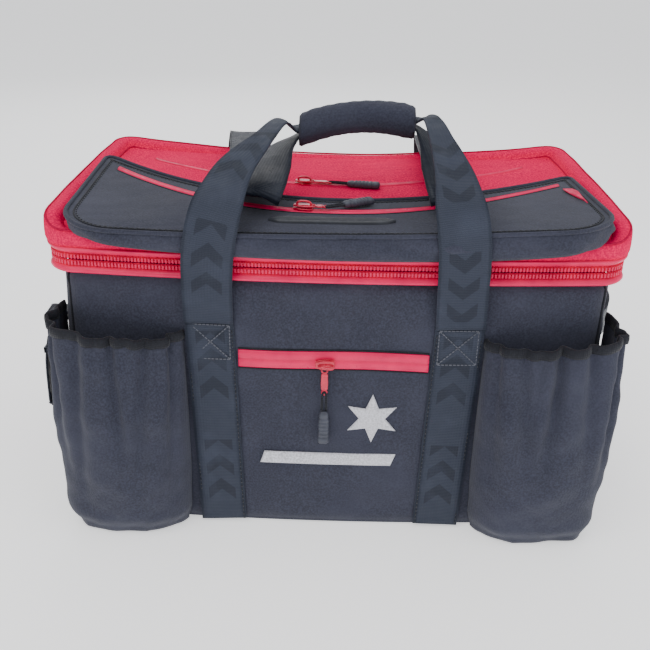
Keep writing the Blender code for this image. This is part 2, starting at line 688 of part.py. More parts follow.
RING_BAR = Vector((-0.2480, -0.090, 0.1815))
RING_HALF_WIDTH, RING_DROP, RING_WIRE = 0.0120, 0.0210, 0.0016


def make_left_fittings():
    """A folded webbing tab holds a red ring, and a loop of webbing hangs from the ring."""
    face = -(BODY["half_x"] + BODY["end"] + GAP)
    outer = [(face, RING_BAR.z + 0.0038)]
    outer += arc_points(RING_BAR.x, RING_BAR.z, 0.0038, 90, 270, 8)
    outer.append((face, RING_BAR.z - 0.0038))
    inner = [(face, RING_BAR.z + 0.0022)]
    inner += arc_points(RING_BAR.x, RING_BAR.z, 0.0022, 90, 270, 8)
    inner.append((face, RING_BAR.z - 0.0022))
    tab = side_prism(outer + inner[::-1], RING_BAR.y - 0.009, RING_BAR.y + 0.009)
    piece("left_ring_tab", [tab], "webbing")

    swing = pivot("left_ring_swing", RING_BAR)
    corner = 0.004
    path = []
    low = RING_BAR.z - RING_DROP
    side, top = RING_HALF_WIDTH - corner, RING_BAR.z - corner
    for cy, cz, start in ((side, top, 0), (-side, top, 90),
                          (-side, low + corner, 180), (side, low + corner, 270)):
        for y, z in arc_points(cy, cz, corner, start, start + 90, 3):
            path.append((RING_BAR.x, RING_BAR.y + y, z))
    piece("left_ring", [ring_tube(path)], "red_metal", swing)

    drop, spread = 0.0640, 0.0060
    loops = []
    for thick in (0.0, WEBBING):
        top = arc_points(RING_BAR.x, low, 0.0024 + thick, 20, 160, 6)
        bottom = arc_points(RING_BAR.x - 0.003, low - drop, spread + thick, 180, 360, 8)
        loops.append(top + bottom)
    rings = [(0, -0.009), (1, -0.009), (1, 0.009), (0, 0.009)]
    loop = {"loops": [[(x, RING_BAR.y + y, z) for x, z in loops[k]] for k, y in rings], "ring": True}
    piece("left_hanging_loop", [loop], "webbing", swing)


def ring_tube(path):
    """A closed round wire in a plane across X."""
    count = len(path)
    loops = []
    for i in range(count):
        before, after = Vector(path[i - 1]), Vector(path[(i + 1) % count])
        tangent = (after - before).normalized()
        across = Vector((1, 0, 0))
        over = tangent.cross(across)
        turns = [2 * math.pi * k / 8 for k in range(8)]
        loops.append([Vector(path[i]) + RING_WIRE * (math.cos(t) * across + math.sin(t) * over)
                      for t in turns])
    return {"loops": loops, "ring": True}


def make_right_fittings():
    """A webbing grab handle bows out from the right end."""
    face = BODY["half_x"] + BODY["end"]
    half, thick = 0.070, 0.0032
    outer, inner = [], []
    for i in range(13):
        s = -1 + i / 6
        reach = 0.0300 * (1 - s * s) ** 0.6 if abs(s) < 1 else 0.0
        inner.append((face + 0.0006 + reach, s * half))
        outer.append((face + 0.0006 + reach + thick, s * half * 1.03))
    piece("right_grab_handle", [prism(outer + inner[::-1], 0.158, 0.183)], "webbing")


def make_badge():
    """Plain six-pointed star over a bar, raised as satin stitching."""
    x0, z0 = 0.034, 0.114
    star = []
    for i in range(12):
        radius = 0.024 if i % 2 == 0 else 0.011
        angle = math.radians(90 + 30 * i)
        star.append((x0 + radius * math.cos(angle), z0 + radius * math.sin(angle)))
    bar = [(-0.062, 0.066), (0.052, 0.066), (0.056, 0.078), (-0.058, 0.078)]
    y1 = front_y(0.0, GAP)
    piece("badge_star", [side_prism(star, y1 - 0.0008, y1)], "satin_thread")
    piece("badge_bar", [side_prism(bar, y1 - 0.0008, y1)], "satin_thread")


# ---------------------------------------------------------------- build
def main():
    clear_scene()
    make_walls()
    make_lining()
    make_zips()
    make_sewn_webbing()
    cutter = body_cutter("body_room")
    make_bellows("left", -1, cutter)
    make_bellows("right", 1, cutter)
    lid = pivot("lid_hinge", LID_HINGE)
    make_lid_shell(lid)
    make_rim(lid)
    make_lid_pocket(lid)
    make_lid_trim(lid)
    make_sliders(lid)
    front = pivot("front_handle_swing", FRONT_HANDLE_AXIS)
    rear = pivot("rear_handle_swing", REAR_HANDLE_AXIS)
    make_handle("front_handle_webbing", front, FRONT_LEFT, FRONT_RIGHT, 0.0040)
    make_handle("rear_handle_webbing", rear, REAR_LEFT, REAR_RIGHT, -0.0040)
    make_grip(rear)
    make_left_fittings()
    make_right_fittings()
    make_badge()


main()
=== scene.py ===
"""Box-shaped hockey kit bag: fabric, webbing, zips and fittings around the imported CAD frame."""
import math
import random

import bmesh
import bpy
from mathutils import Matrix, Vector, kdtree
from mathutils.bvhtree import BVHTree


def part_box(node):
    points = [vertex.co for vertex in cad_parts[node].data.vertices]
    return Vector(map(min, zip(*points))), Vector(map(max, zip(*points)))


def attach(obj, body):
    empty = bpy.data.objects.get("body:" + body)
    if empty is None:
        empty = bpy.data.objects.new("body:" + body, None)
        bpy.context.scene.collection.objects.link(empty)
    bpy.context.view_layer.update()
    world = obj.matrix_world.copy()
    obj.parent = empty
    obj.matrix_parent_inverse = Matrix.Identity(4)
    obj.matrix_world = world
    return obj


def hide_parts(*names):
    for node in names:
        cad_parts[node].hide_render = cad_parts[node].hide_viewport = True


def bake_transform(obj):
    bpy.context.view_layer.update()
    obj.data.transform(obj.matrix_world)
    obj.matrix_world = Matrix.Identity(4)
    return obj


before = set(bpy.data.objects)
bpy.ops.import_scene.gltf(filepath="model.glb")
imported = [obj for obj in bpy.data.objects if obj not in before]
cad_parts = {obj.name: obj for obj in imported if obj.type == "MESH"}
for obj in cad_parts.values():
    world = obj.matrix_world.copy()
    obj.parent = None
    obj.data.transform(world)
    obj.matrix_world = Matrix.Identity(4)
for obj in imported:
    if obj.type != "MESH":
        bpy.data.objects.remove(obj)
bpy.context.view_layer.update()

# ---------------------------------------------------------------- shared sizes, in metres
BODY = {"half_x": 0.2225, "half_y": 0.1325, "corner": 0.018, "front": 0.010, "back": 0.004, "end": 0.003}
ZIP = {"half_x": 0.2290, "half_y": 0.1350, "corner": 0.020, "front": 0.011, "back": 0.004, "end": 0.003}
LID = {"half_x": 0.2325, "half_y": 0.1358, "corner": 0.022, "front": 0.011, "back": 0.004, "end": 0.003}
BODY_TOP = 0.2405
ZIP_STOP_Y = 0.112
WEBBING = 0.0016
SEW_Z = 0.202
SWEEP_AT = 0.200
FRONT_ZIP_Z = 0.169
CORD_HALF = 0.0021


# ---------------------------------------------------------------- mesh helpers
def add_mesh(name, verts, faces, material, smooth=True, uvs=None):
    mesh = bpy.data.meshes.new(name)
    mesh.from_pydata([tuple(v) for v in verts], [], faces)
    mesh.update()
    if uvs is not None:
        layer = mesh.uv_layers.new(name="run")
        for loop in mesh.loops:
            layer.data[loop.index].uv = uvs[loop.vertex_index]
    bm = bmesh.new()
    bm.from_mesh(mesh)
    bmesh.ops.recalc_face_normals(bm, faces=bm.faces)
    bm.to_mesh(mesh)
    bm.free()
    for polygon in mesh.polygons:
        polygon.use_smooth = smooth
    obj = bpy.data.objects.new(name, mesh)
    bpy.context.collection.objects.link(obj)
    mesh.materials.append(material)
    return obj


def strip_faces(rows, columns, wrap=False):
    """Quads of a grid stored row by row; wrap joins the last column to the first."""
    last = columns if wrap else columns - 1
    return [(r * columns + c, r * columns + (c + 1) % columns,
             (r + 1) * columns + (c + 1) % columns, (r + 1) * columns + c)
            for r in range(rows - 1) for c in range(last)]


def grid(name, rows, material, wrap=False, caps=(), uvs=None):
    """A surface through rows of points. caps lists the rows, 0 or -1, closed by one face."""
    columns = len(rows[0])
    faces = strip_faces(len(rows), columns, wrap)
    if 0 in caps:
        faces.append(tuple(range(columns)))
    if -1 in caps:
        start = (len(rows) - 1) * columns
        faces.append(tuple(range(start, start + columns)))
    return add_mesh(name, [p for row in rows for p in row], faces, material, uvs=uvs)


def settle(obj, *modifiers):
    """Adds each (type, settings) modifier, then makes the result the mesh itself."""
    for kind, settings in modifiers:
        modifier = obj.modifiers.new(kind.lower(), kind)
        for key, value in settings.items():
            setattr(modifier, key, value)
    depsgraph = bpy.context.evaluated_depsgraph_get()
    mesh = bpy.data.meshes.new_from_object(obj.evaluated_get(depsgraph))
    obj.modifiers.clear()
    obj.data = mesh
    return obj


def thicken(obj, thickness, offset=-1.0):
    return settle(obj, ("SOLIDIFY", {"thickness": thickness, "offset": offset}))


def join(name, parts):
    """One mesh object from several that share a material."""
    bm = bmesh.new()
    for part in parts:
        bm.from_mesh(part.data)
    mesh = bpy.data.meshes.new(name)
    bm.to_mesh(mesh)
    bm.free()
    mesh.materials.append(parts[0].data.materials[0])
    for part in parts:
        bpy.data.objects.remove(part, do_unlink=True)
    obj = bpy.data.objects.new(name, mesh)
    bpy.context.collection.objects.link(obj)
    return obj


def smooth_route(points, steps=4):
    """A Catmull-Rom curve through the points."""
    points = [Vector(p) for p in points]
    ends = [2 * points[0] - points[1]] + points + [2 * points[-1] - points[-2]]
    route = []
    for a, b, c, d in zip(ends, ends[1:], ends[2:], ends[3:]):
        for i in range(steps):
            t = i / steps
            route.append(0.5 * ((2 * b) + (c - a) * t + (2 * a - 5 * b + 4 * c - d) * t ** 2
                                + (3 * b - a - 3 * c + d) * t ** 3))
    return route + [points[-1]]


def resample(points, count, closed=False):
    """The same line with count points at equal distances."""
    line = [Vector(p) for p in points] + ([Vector(points[0])] if closed else [])
    runs = [0.0]
    for a, b in zip(line, line[1:]):
        runs.append(runs[-1] + (b - a).length)
    stations = count if closed else count - 1
    result, k = [], 0
    for i in range(count):
        want = runs[-1] * i / stations
        while k < len(runs) - 2 and runs[k + 1] < want:
            k += 1
        span = runs[k + 1] - runs[k]
        result.append(line[k].lerp(line[k + 1], (want - runs[k]) / span if span else 0.0))
    return result


def tube(name, path, radius, material, closed=False, sides=8, flat=1.0):
    """A round cord along path; flat squeezes it along the direction nearest to up."""
    count = len(path)
    rows = []
    for i in range(count):
        before = path[i - 1] if closed or i else path[0]
        after = path[(i + 1) % count] if closed or i < count - 1 else path[-1]
        tangent = (Vector(after) - Vector(before)).normalized()
        side = tangent.cross(Vector((0, 0, 1)))
        side = side.normalized() if side.length > 0.05 else tangent.cross(Vector((1, 0, 0))).normalized()
        up = side.cross(tangent)
        width = radius[i] if isinstance(radius, (list, tuple)) else radius
        rows.append([Vector(path[i]) + width * (math.cos(t) * side + flat * math.sin(t) * up)
                     for t in (2 * math.pi * k / sides for k in range(sides))])
    if closed:
        return grid(name, rows + [rows[0]], material, wrap=True)
    return grid(name, rows, material, wrap=True, caps=(0, -1))


def block(centre, axes, half, taper=1.0):
    """Corners and faces of a small tapered brick: axes are along, across and up."""
    ax, ay, az = axes
    corners = []
    for z in (-1, 1):
        k = 1.0 if z < 0 else taper
        for x, y in ((-1, -1), (1, -1), (1, 1), (-1, 1)):
            corners.append(Vector(centre) + ax * x * half[0] * k + ay * y * half[1] * k + az * z * half[2])
    faces = [(0, 1, 2, 3), (4, 5, 6, 7), (0, 1, 5, 4), (1, 2, 6, 5), (2, 3, 7, 6), (3, 0, 4, 7)]
    return corners, faces


def many_blocks(name, blocks, material, smooth=False):
    verts, faces = [], []
    for corners, quads in blocks:
        start = len(verts)
        verts += corners
        faces += [tuple(start + i for i in quad) for quad in quads]
    return add_mesh(name, verts, faces, material, smooth=smooth)


def stitches(name, path, material, body, pitch=0.0042, length=0.0029, width=0.00042, normal=None):
    """A row of short raised threads along path."""
    total = sum((b - a).length for a, b in zip(path, path[1:]))
    points = resample(path, max(3, int(total / pitch)))
    blocks = []
    for i in range(len(points) - 1):
        along = points[i + 1] - points[i]
        if along.length < 1e-6:
            continue
        along.normalize()
        up = Vector(normal(points[i]) if callable(normal) else normal or (0, 0, 1))
        across = along.cross(up)
        if across.length < 0.05:
            continue
        across.normalize()
        blocks.append(block(points[i], (along, across, across.cross(along) * -1.0),
                            (length / 2, width, width * 0.9), 0.7))
    obj = many_blocks(name, blocks, material, smooth=True)
    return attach(obj, body)


def bump_noise(point, scale, seed=0.0):
    """Smooth repeatable noise from a few sine waves, about -1 to 1."""
    x, y, z = (c * scale for c in point)
    return (math.sin(1.7 * x + 2.3 * y + seed) * math.cos(1.3 * z - 0.9 * y + 1.1 * seed)
            + 0.6 * math.sin(3.1 * z + 2.2 * x + 2.3 * seed) + 0.4 * math.sin(4.3 * y - 3.7 * x + seed)) / 2.0


def ramp(value, low, high):
    t = min(1.0, max(0.0, (value - low) / (high - low)))
    return t * t * (3 - 2 * t)


# ---------------------------------------------------------------- materials
class Nodes:
    """Short names for building one node material; every size is in metres."""

    def __init__(self, name, colour, roughness, **sockets):
        self.material = bpy.data.materials.new(name)
        self.material.use_nodes = True
        self.tree = self.material.node_tree
        self.shader = self.tree.nodes["Principled BSDF"]
        self.shader.inputs["Base Color"].default_value = (*colour, 1.0)
        self.shader.inputs["Roughness"].default_value = roughness
        for socket, value in sockets.items():
            self.shader.inputs[socket.replace("_", " ")].default_value = value
        self.place = self.tree.nodes.new("ShaderNodeTexCoord").outputs["Object"]

    def add(self, kind, inputs=(), **settings):
        node = self.tree.nodes.new("ShaderNode" + kind)
        for key, value in settings.items():
            setattr(node, key, value)
        for key, value in dict(inputs).items():
            if isinstance(value, bpy.types.NodeSocket):
                self.tree.links.new(value, node.inputs[key])
            else:
                node.inputs[key].default_value = value
        return node

    def math(self, operation, a, b=0.0, clamp=False):
        return self.add("Math", {0: a, 1: b}, operation=operation, use_clamp=clamp).outputs[0]

    def noise(self, size, detail=2.0, place=None):
        """Noise whose blotches are about size metres across."""
        return self.add("TexNoise", {"Vector": place or self.place, "Scale": 1.0 / size,
                                     "Detail": detail}).outputs["Fac"]

    def waves(self, period, axis, place=None):
        """Stripes across one axis, period metres apart."""
        return self.add("TexWave", {"Vector": place or self.place, "Scale": math.pi / 10 / period},
                        bands_direction=axis).outputs["Fac"]

    def between(self, factor, low, high, out_low, out_high):
        return self.add("MapRange", {"Value": factor, "From Min": low, "From Max": high,
                                     "To Min": out_low, "To Max": out_high}).outputs["Result"]

    def mix(self, factor, first, second):
        node = self.add("Mix", {"Factor": factor}, data_type="RGBA")
        for key, value in ((6, first), (7, second)):
            if isinstance(value, bpy.types.NodeSocket):
                self.tree.links.new(value, node.inputs[key])
            else:
                node.inputs[key].default_value = (*value, 1.0)
        return node.outputs[2]

    def colour(self, socket):
        self.tree.links.new(socket, self.shader.inputs["Base Color"])

    def rough(self, socket):
        self.tree.links.new(socket, self.shader.inputs["Roughness"])

    def bump(self, *layers):
        """Each layer is (height socket, height in metres); they add up."""
        normal = None
        for height, depth in layers:
            inputs = {"Height": height, "Distance": depth, "Strength": 1.0}
            if normal is not None:
                inputs["Normal"] = normal
            normal = self.add("Bump", inputs).outputs["Normal"]
        self.tree.links.new(normal, self.shader.inputs["Normal"])


def scaled(colour, k):
    return tuple(c * k for c in colour)


def woven(name, colour, roughness, period=0.0011, depth=0.00014, wrinkle=0.0005, worn=1.35, sheen=0.10,
          gloss=0.25):
    """Plain-weave cloth: crossing threads, a speckle of uneven yarn, soft creases and paler wear."""
    n = Nodes(name, colour, roughness, Sheen_Weight=sheen, Sheen_Roughness=0.5, Specular_IOR_Level=gloss)
    threads = n.math("ADD", n.math("ADD", n.waves(period, "X"), n.waves(period, "Y")), n.waves(period, "Z"))
    yarn = n.noise(0.0016, 3.0)
    speckle = n.mix(n.between(yarn, 0.35, 0.68, 0.0, 1.0), scaled(colour, 0.70), scaled(colour, 1.22))
    faded = n.mix(n.between(n.noise(0.070, 4.0), 0.46, 0.70, 0.0, 0.55), speckle, scaled(colour, worn))
    n.colour(n.mix(n.between(threads, 0.6, 2.4, 0.0, 0.22), faded, scaled(colour, 0.60)))
    n.rough(n.between(n.noise(0.030, 3.0), 0.3, 0.7, roughness - 0.08, min(1.0, roughness + 0.07)))
    n.bump((n.noise(0.018, 3.0), wrinkle), (threads, depth / 2), (yarn, depth))
    return n.material


def coated(name, colour, roughness=0.22, coat=0.7, gloss=0.28):
    """Glossy coated zip tape: a slick skin with faint waviness and rubbed patches."""
    n = Nodes(name, colour, roughness, Coat_Weight=coat, Coat_Roughness=0.12, Specular_IOR_Level=gloss)
    n.colour(n.mix(n.between(n.noise(0.020, 4.0), 0.4, 0.7, 0.0, 1.0), colour, scaled(colour, 0.78)))
    n.rough(n.between(n.noise(0.006, 4.0), 0.3, 0.7, roughness * 0.7, roughness * 1.7))
    n.bump((n.noise(0.012, 2.0), 0.0004), (n.noise(0.0015, 2.0), 0.00005))
    return n.material


def moulded(name, colour, roughness, grain=0.00005, **sockets):
    """Moulded plastic or painted casting: fine grain, slight mottling and scuffs."""
    n = Nodes(name, colour, roughness, **sockets)
    n.colour(n.mix(n.between(n.noise(0.009, 5.0), 0.45, 0.72, 0.0, 0.7), colour, scaled(colour, 1.45)))
    n.rough(n.between(n.noise(0.004, 4.0), 0.3, 0.7, roughness * 0.75, min(1.0, roughness * 1.35)))
    n.bump((n.noise(0.0009, 2.0), grain), (n.noise(0.010, 2.0), 0.0001))
    return n.material


def ribbed(name, colour, roughness=0.60, chevrons=True):
    """Polyester webbing along its own run: cross ribs, firm edges and a tone-on-tone chevron weave."""
    n = Nodes(name, colour, roughness, Specular_IOR_Level=0.18)
    run = n.add("UVMap", uv_map="run").outputs["UV"]
    parts = n.add("SeparateXYZ", {0: run})
    across, along = n.math("ABSOLUTE", parts.outputs[0]), parts.outputs[1]
    ribs = n.waves(0.0016, "Y", run)
    cords = n.waves(0.0024, "X", run)
    tone = n.mix(n.between(ribs, 0.0, 1.0, 0.0, 0.45), scaled(colour, 1.12), scaled(colour, 0.62))
    if chevrons:
        slanted = n.math("DIVIDE", n.math("ADD", along, n.math("MULTIPLY", across, 0.9)), 0.026)
        arms = n.between(n.math("PINGPONG", slanted, 0.5), 0.25, 0.29, 0.0, 1.0)
        blocks = n.math("PINGPONG", n.math("DIVIDE", along, 0.105), 0.5)
        inside = n.math("MULTIPLY", n.between(across, 0.0118, 0.0122, 1.0, 0.0),
                        n.between(blocks, 0.18, 0.19, 0.0, 1.0))
        pattern = n.math("MULTIPLY", arms, inside)
        tone = n.mix(n.math("MULTIPLY", pattern, 0.55), tone, scaled(colour, 0.42))
    edge = n.between(across, 0.0172, 0.0182, 0.0, 0.5)
    tone = n.mix(edge, tone, scaled(colour, 0.60))
    n.colour(n.mix(n.between(n.noise(0.030, 4.0), 0.5, 0.72, 0.0, 0.35), tone, scaled(colour, 1.7)))
    n.rough(n.between(n.noise(0.012, 3.0), 0.3, 0.7, roughness - 0.10, roughness + 0.10))
    n.bump((n.noise(0.020, 2.0), 0.0005), (ribs, 0.00022), (cords, 0.00010))
    return n.material


CHARCOAL, CRIMSON = (0.040, 0.043, 0.066), (0.92, 0.001, 0.098)
WEB_GREY, PULL_GREY = (0.037, 0.044, 0.065), (0.045, 0.050, 0.070)
MATERIALS = {
    "charcoal": woven("charcoal_weave", CHARCOAL, 0.86),
    "crimson": woven("crimson_weave", CRIMSON, 0.80, sheen=0.0, worn=1.06, gloss=0.06),
    "crimson_dark": woven("crimson_shaded_weave", scaled(CRIMSON, 0.55), 0.82,
                          sheen=0.0, worn=1.1, gloss=0.12),
    "black": woven("black_binding_weave", (0.012, 0.013, 0.019), 0.78, period=0.0018, depth=0.0002),
    "tape": coated("coated_red_tape", (0.92, 0.002, 0.105), roughness=0.38, coat=0.06),
    "teeth": coated("moulded_red_teeth", (0.85, 0.012, 0.105), roughness=0.40, coat=0.05),
    "webbing": ribbed("ribbed_webbing", WEB_GREY),
    "webbing_plain": ribbed("plain_webbing", scaled(WEB_GREY, 0.55), roughness=0.36, chevrons=False),
    "lining": woven("lining_weave", (0.075, 0.078, 0.092), 0.72, period=0.0009, wrinkle=0.0012),
    "foam": moulded("cellular_foam", (0.13, 0.13, 0.14), 0.95, grain=0.0005),
    "board": moulded("pressed_board", (0.035, 0.035, 0.038), 0.60),
    "satin": woven("satin_thread", (0.80, 0.80, 0.86), 0.38, period=0.0008, depth=0.0003, wrinkle=0.0001,
                   worn=1.05, sheen=0.4),
    "thread_dark": woven("dark_thread", (0.020, 0.022, 0.030), 0.55, period=0.0006),
    "thread_grey": woven("grey_thread", (0.115, 0.120, 0.145), 0.55, period=0.0006),
    "thread_red": woven("red_thread", (0.40, 0.003, 0.028), 0.55, period=0.0006),
    "red_metal": moulded("painted_red_casting", (0.58, 0.006, 0.045), 0.28, Coat_Weight=0.6, Metallic=0.25),
    "pull": moulded("moulded_grey_pull", PULL_GREY, 0.46, grain=0.00009),
    "rubber": moulded("moulded_black_rubber", (0.030, 0.033, 0.042), 0.40, grain=0.00007),
}


# ---------------------------------------------------------------- camera, light and floor
def make_stage():
    eye, yaw, pitch, roll = Vector((-0.0003, -0.7597, 0.5007)), -0.01187, 0.45221, 0.02112
    forward = Vector((math.sin(yaw) * math.cos(pitch), math.cos(yaw) * math.cos(pitch), -math.sin(pitch)))
    right = Vector((math.cos(yaw), -math.sin(yaw), 0.0))
    up = right.cross(forward)
    across = right * math.cos(roll) + up * math.sin(roll)
    upright = -right * math.sin(roll) + up * math.cos(roll)
    camera = bpy.data.objects.new("camera", bpy.data.cameras.new("camera"))
    camera.data.lens = 46.99
    camera.data.sensor_width = 36.0
    camera.data.clip_start = 0.01
    axes = Matrix((across, upright, -forward)).transposed().to_4x4()
    camera.matrix_world = Matrix.Translation(eye) @ axes
    bpy.context.collection.objects.link(camera)
    bpy.context.scene.camera = camera

    lamps = (("key_light", (-0.75, -1.10, 1.75), 1.3, 17.0, (1.0, 0.985, 0.96)),
             ("fill_light", (1.30, -0.95, 0.95), 1.5, 9.0, (0.95, 0.97, 1.0)),
             ("top_light", (0.10, 0.35, 1.70), 1.4, 8.0, (1.0, 1.0, 1.0)),
             ("back_light", (-0.40, 1.60, 1.10), 1.2, 6.0, (1.0, 1.0, 1.0)))
    for name, place, size, power, colour in lamps:
        lamp = bpy.data.objects.new(name, bpy.data.lights.new(name, "AREA"))
        lamp.data.size, lamp.data.energy, lamp.data.color = size, power, colour
        lamp.location = place
        lamp.rotation_euler = (Vector((0, 0, 0.15)) - Vector(place)).to_track_quat("-Z", "Y").to_euler()
        bpy.context.collection.objects.link(lamp)
    world = bpy.data.worlds.new("studio")
    world.use_nodes = True
    world.node_tree.nodes["Background"].inputs["Color"].default_value = (0.93, 0.95, 1.0, 1.0)
    world.node_tree.nodes["Background"].inputs["Strength"].default_value = 0.55
    bpy.context.scene.world = world

    rows = [[(x, y, -0.0012) for x in (-6, -2, 2, 6)] for y in (-3, 0, 3, 9)]
    paper = Nodes("studio_paper", (0.92, 0.92, 0.925), 0.9, Emission_Color=(1.0, 1.0, 1.0, 1.0),
                  Emission_Strength=0.75)
    paper.bump((paper.noise(0.01), 0.00005))
    grid("studio_floor", rows, paper.material)


# ---------------------------------------------------------------- plan outline of body, zip and lid
SIDES = (("front", (0, -1), 56), ("right", (1, 0), 30), ("back", (0, 1), 48), ("left", (-1, 0), 30))
CORNER = 5


def raw_side(plan, side, facing, steps):
    a, b, r = plan["half_x"], plan["half_y"], plan["corner"]
    nx, ny = facing
    half_run, reach = (a, b) if nx == 0 else (b, a)
    bow = plan["end"] if nx else plan[side]
    points = []

    def add(s, depth):
        depth += bow * (1.0 - (s / half_run) ** 2)
        points.append((nx * depth - ny * s, ny * depth + nx * s))

    for i in range(CORNER):
        t = math.radians(45.0 * (1.0 - i / CORNER))
        add(-(half_run - r) - r * math.sin(t), reach - r + r * math.cos(t))
    for i in range(steps + 1):
        add((half_run - r) * (2.0 * i / steps - 1.0), reach)
    for i in range(1, CORNER):
        t = math.radians(45.0 * i / CORNER)
        add((half_run - r) + r * math.sin(t), reach - r + r * math.cos(t))
    return points


def outline(plan):
    """Points and outward normals right round the plan, anticlockwise from the front left corner."""
    raw = [p for side, facing, steps in SIDES for p in raw_side(plan, side, facing, steps)]
    normals = []
    for i in range(len(raw)):
        (px, py), (qx, qy) = raw[i - 1], raw[(i + 1) % len(raw)]
        length = math.hypot(qx - px, qy - py)
        normals.append(((qy - py) / length, (px - qx) / length))
    return raw, normals


def ring(plan, offset, height):
    """The outline moved outwards by offset(x, y) and set at height(x, y); both may be numbers."""
    raw, normals = outline(plan)
    row = []
    for (x, y), (nx, ny) in zip(raw, normals):
        out = offset(x, y) if callable(offset) else offset
        z = height(x, y) if callable(height) else height
        row.append(Vector((x + nx * out, y + ny * out, z)))
    return row


# ---------------------------------------------------------------- body of the bag
def bulge(x, y, z):
    """How far the soft walls stand out from their plan: the ends puff, the front and back hardly."""
    rise = math.sin(math.pi * min(1.0, max(0.0, z / BODY_TOP))) ** 0.8
    end = max(0.0, 1.0 - (y / 0.131) ** 2) if abs(x) > 0.21 else 0.0
    face = max(0.0, 1.0 - (x / 0.215) ** 2) if abs(x) <= 0.21 else 0.0
    return rise * (0.0115 * end + (0.0012 if y < 0 else 0.0050) * face)


def creases(x, y, z):
    """Shallow slack in the padded walls, strongest under the zip and near the corners."""
    slack = 0.0009 * bump_noise((x, y, z), 21.0, 0.7) + 0.0005 * bump_noise((x, y, z), 55.0, 2.0)
    under_zip = 0.0016 * ramp(z, 0.185, 0.222) * ramp(BODY_TOP - z, 0.0, 0.010)
    return slack + under_zip * math.sin(x * 61.0 + 2.0 * math.sin(x * 17.0) + y * 73.0)


def corner_dip(x, y):
    """The sewn corner seams pull in."""
    near = min(math.hypot(abs(x) - 0.2195, abs(y) - 0.1310), 0.02)
    return -0.0022 * math.exp(-(near / 0.0028) ** 2)


def wall_offset(z, inset=0.0):
    edge = -0.0035 * (1.0 - ramp(z, 0.0, 0.010)) - 0.0030 * ramp(z, BODY_TOP - 0.010, BODY_TOP)
    soft = ramp(z, 0.0, 0.015)
    return lambda x, y: edge + inset + soft * (bulge(x, y, z) + creases(x, y, z) + corner_dip(x, y))


def front_y(x, z=None, off=0.0):
    """The front face's Y at x, with its bulge when z is given."""
    flat = BODY["half_y"] + BODY["front"] * (1.0 - (x / BODY["half_x"]) ** 2)
    puffed = 0.0 if z is None else bulge(x, -flat, z)
    return -(flat + puffed + off)


def back_y(x, z, off=0.0):
    flat = BODY["half_y"] + BODY["back"] * (1.0 - (x / BODY["half_x"]) ** 2)
    return flat + bulge(x, flat, z) + off


def heights(low, high, count):
    return [low + (high - low) * i / (count - 1) for i in range(count)]


def make_body():
    levels = [0.0, 0.0015, 0.004, 0.008] + heights(0.013, 0.232, 46) + [0.2365, 0.2392, BODY_TOP]
    rows = [ring(BODY, wall_offset(z), z) for z in levels]
    rows.append(ring(BODY, -0.0072, BODY_TOP))
    rows.append(ring(BODY, -0.0080, BODY_TOP - 0.006))
    inner = [ring(BODY, lambda x, y, z=z: -0.0080 + 0.6 * bulge(x, y, z), z)
             for z in reversed(heights(0.0035, BODY_TOP - 0.02, 10))]
    shell = grid("bag_shell", rows + inner, MATERIALS["charcoal"], wrap=True)
    under = [[Vector((p.x * k, p.y * k, 0.0)) for p in rows[0]] for k in (1.0, 0.8, 0.5, 0.2, 0.02)]
    base = grid("bag_underside", under, MATERIALS["black"], wrap=True, caps=(-1,))
    thicken(base, 0.0022, offset=1.0)
    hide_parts("front_panel", "back_panel", "left_end_panel", "right_end_panel",
                "front_foam", "back_foam", "left_end_foam", "right_end_foam")
    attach(shell, "bag_body")
    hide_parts("base_panel")
    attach(base, "bag_body")
    for sx in (-1, 1):
        for sy in (-1, 1):
            zip_shadow = []
            for z in heights(0.006, 0.236, 40):
                row = ring(BODY, wall_offset(z), z)
                zip_shadow.append(min(row, key=lambda p: math.hypot(p.x - sx * 0.2195, p.y - sy * 0.1310)))
            label = ("left" if sx < 0 else "right") + ("_front" if sy < 0 else "_back")
            roll = tube(label + "_corner_piping", zip_shadow, 0.0014, MATERIALS["black"], sides=6)
            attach(roll, "bag_body")


def make_lining():
    """Quilted tub inside the bag, rolled over the wall's top edge."""
    rows = [ring(BODY, lambda x, y, z=z: -0.0092 + 0.55 * bulge(x, y, z)
                 + 0.0008 * bump_noise((x, y, z), 34.0, 1.3), z) for z in heights(0.0066, 0.232, 26)]
    rows.append(ring(BODY, -0.0078, 0.2398))
    floor = [[Vector((p.x * k, p.y * k, 0.0066 + 0.0004 * bump_noise(p * k, 30.0)))
              for p in rows[0]] for k in (0.02, 0.2, 0.4, 0.6, 0.8, 0.93)]
    tub = grid("lining_tub", floor + rows, MATERIALS["lining"], wrap=True, caps=(0,))
    thicken(tub, 0.0009, offset=0.0)
    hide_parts("body_lining")
    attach(tub, "bag_body")
    paint("base_board", "board")


def paint(node, material):
    """A CAD node keeps its shape and takes a finished material."""
    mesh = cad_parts[node].data
    if not mesh.materials:
        mesh.materials.append(None)
    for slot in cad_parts[node].material_slots:
        slot.material = MATERIALS[material]


# ---------------------------------------------------------------- gathered front pockets
POUCH_PLAN = [(-0.2295, -0.1080), (-0.2335, -0.1210), (-0.2368, -0.1350), (-0.2345, -0.1510),
              (-0.2235, -0.1640), (-0.2040, -0.1720), (-0.1780, -0.1755), (-0.1520, -0.1735),
              (-0.1345, -0.1650), (-0.1262, -0.1540), (-0.1225, -0.1425)]
POUCH_LEVELS = ((0.0, 0.80, 0.90), (0.10, 0.93, 0.97), (0.35, 1.04, 1.0), (0.62, 1.0, 1.0),
                (0.85, 0.82, 0.99), (1.0, 0.66, 0.97))


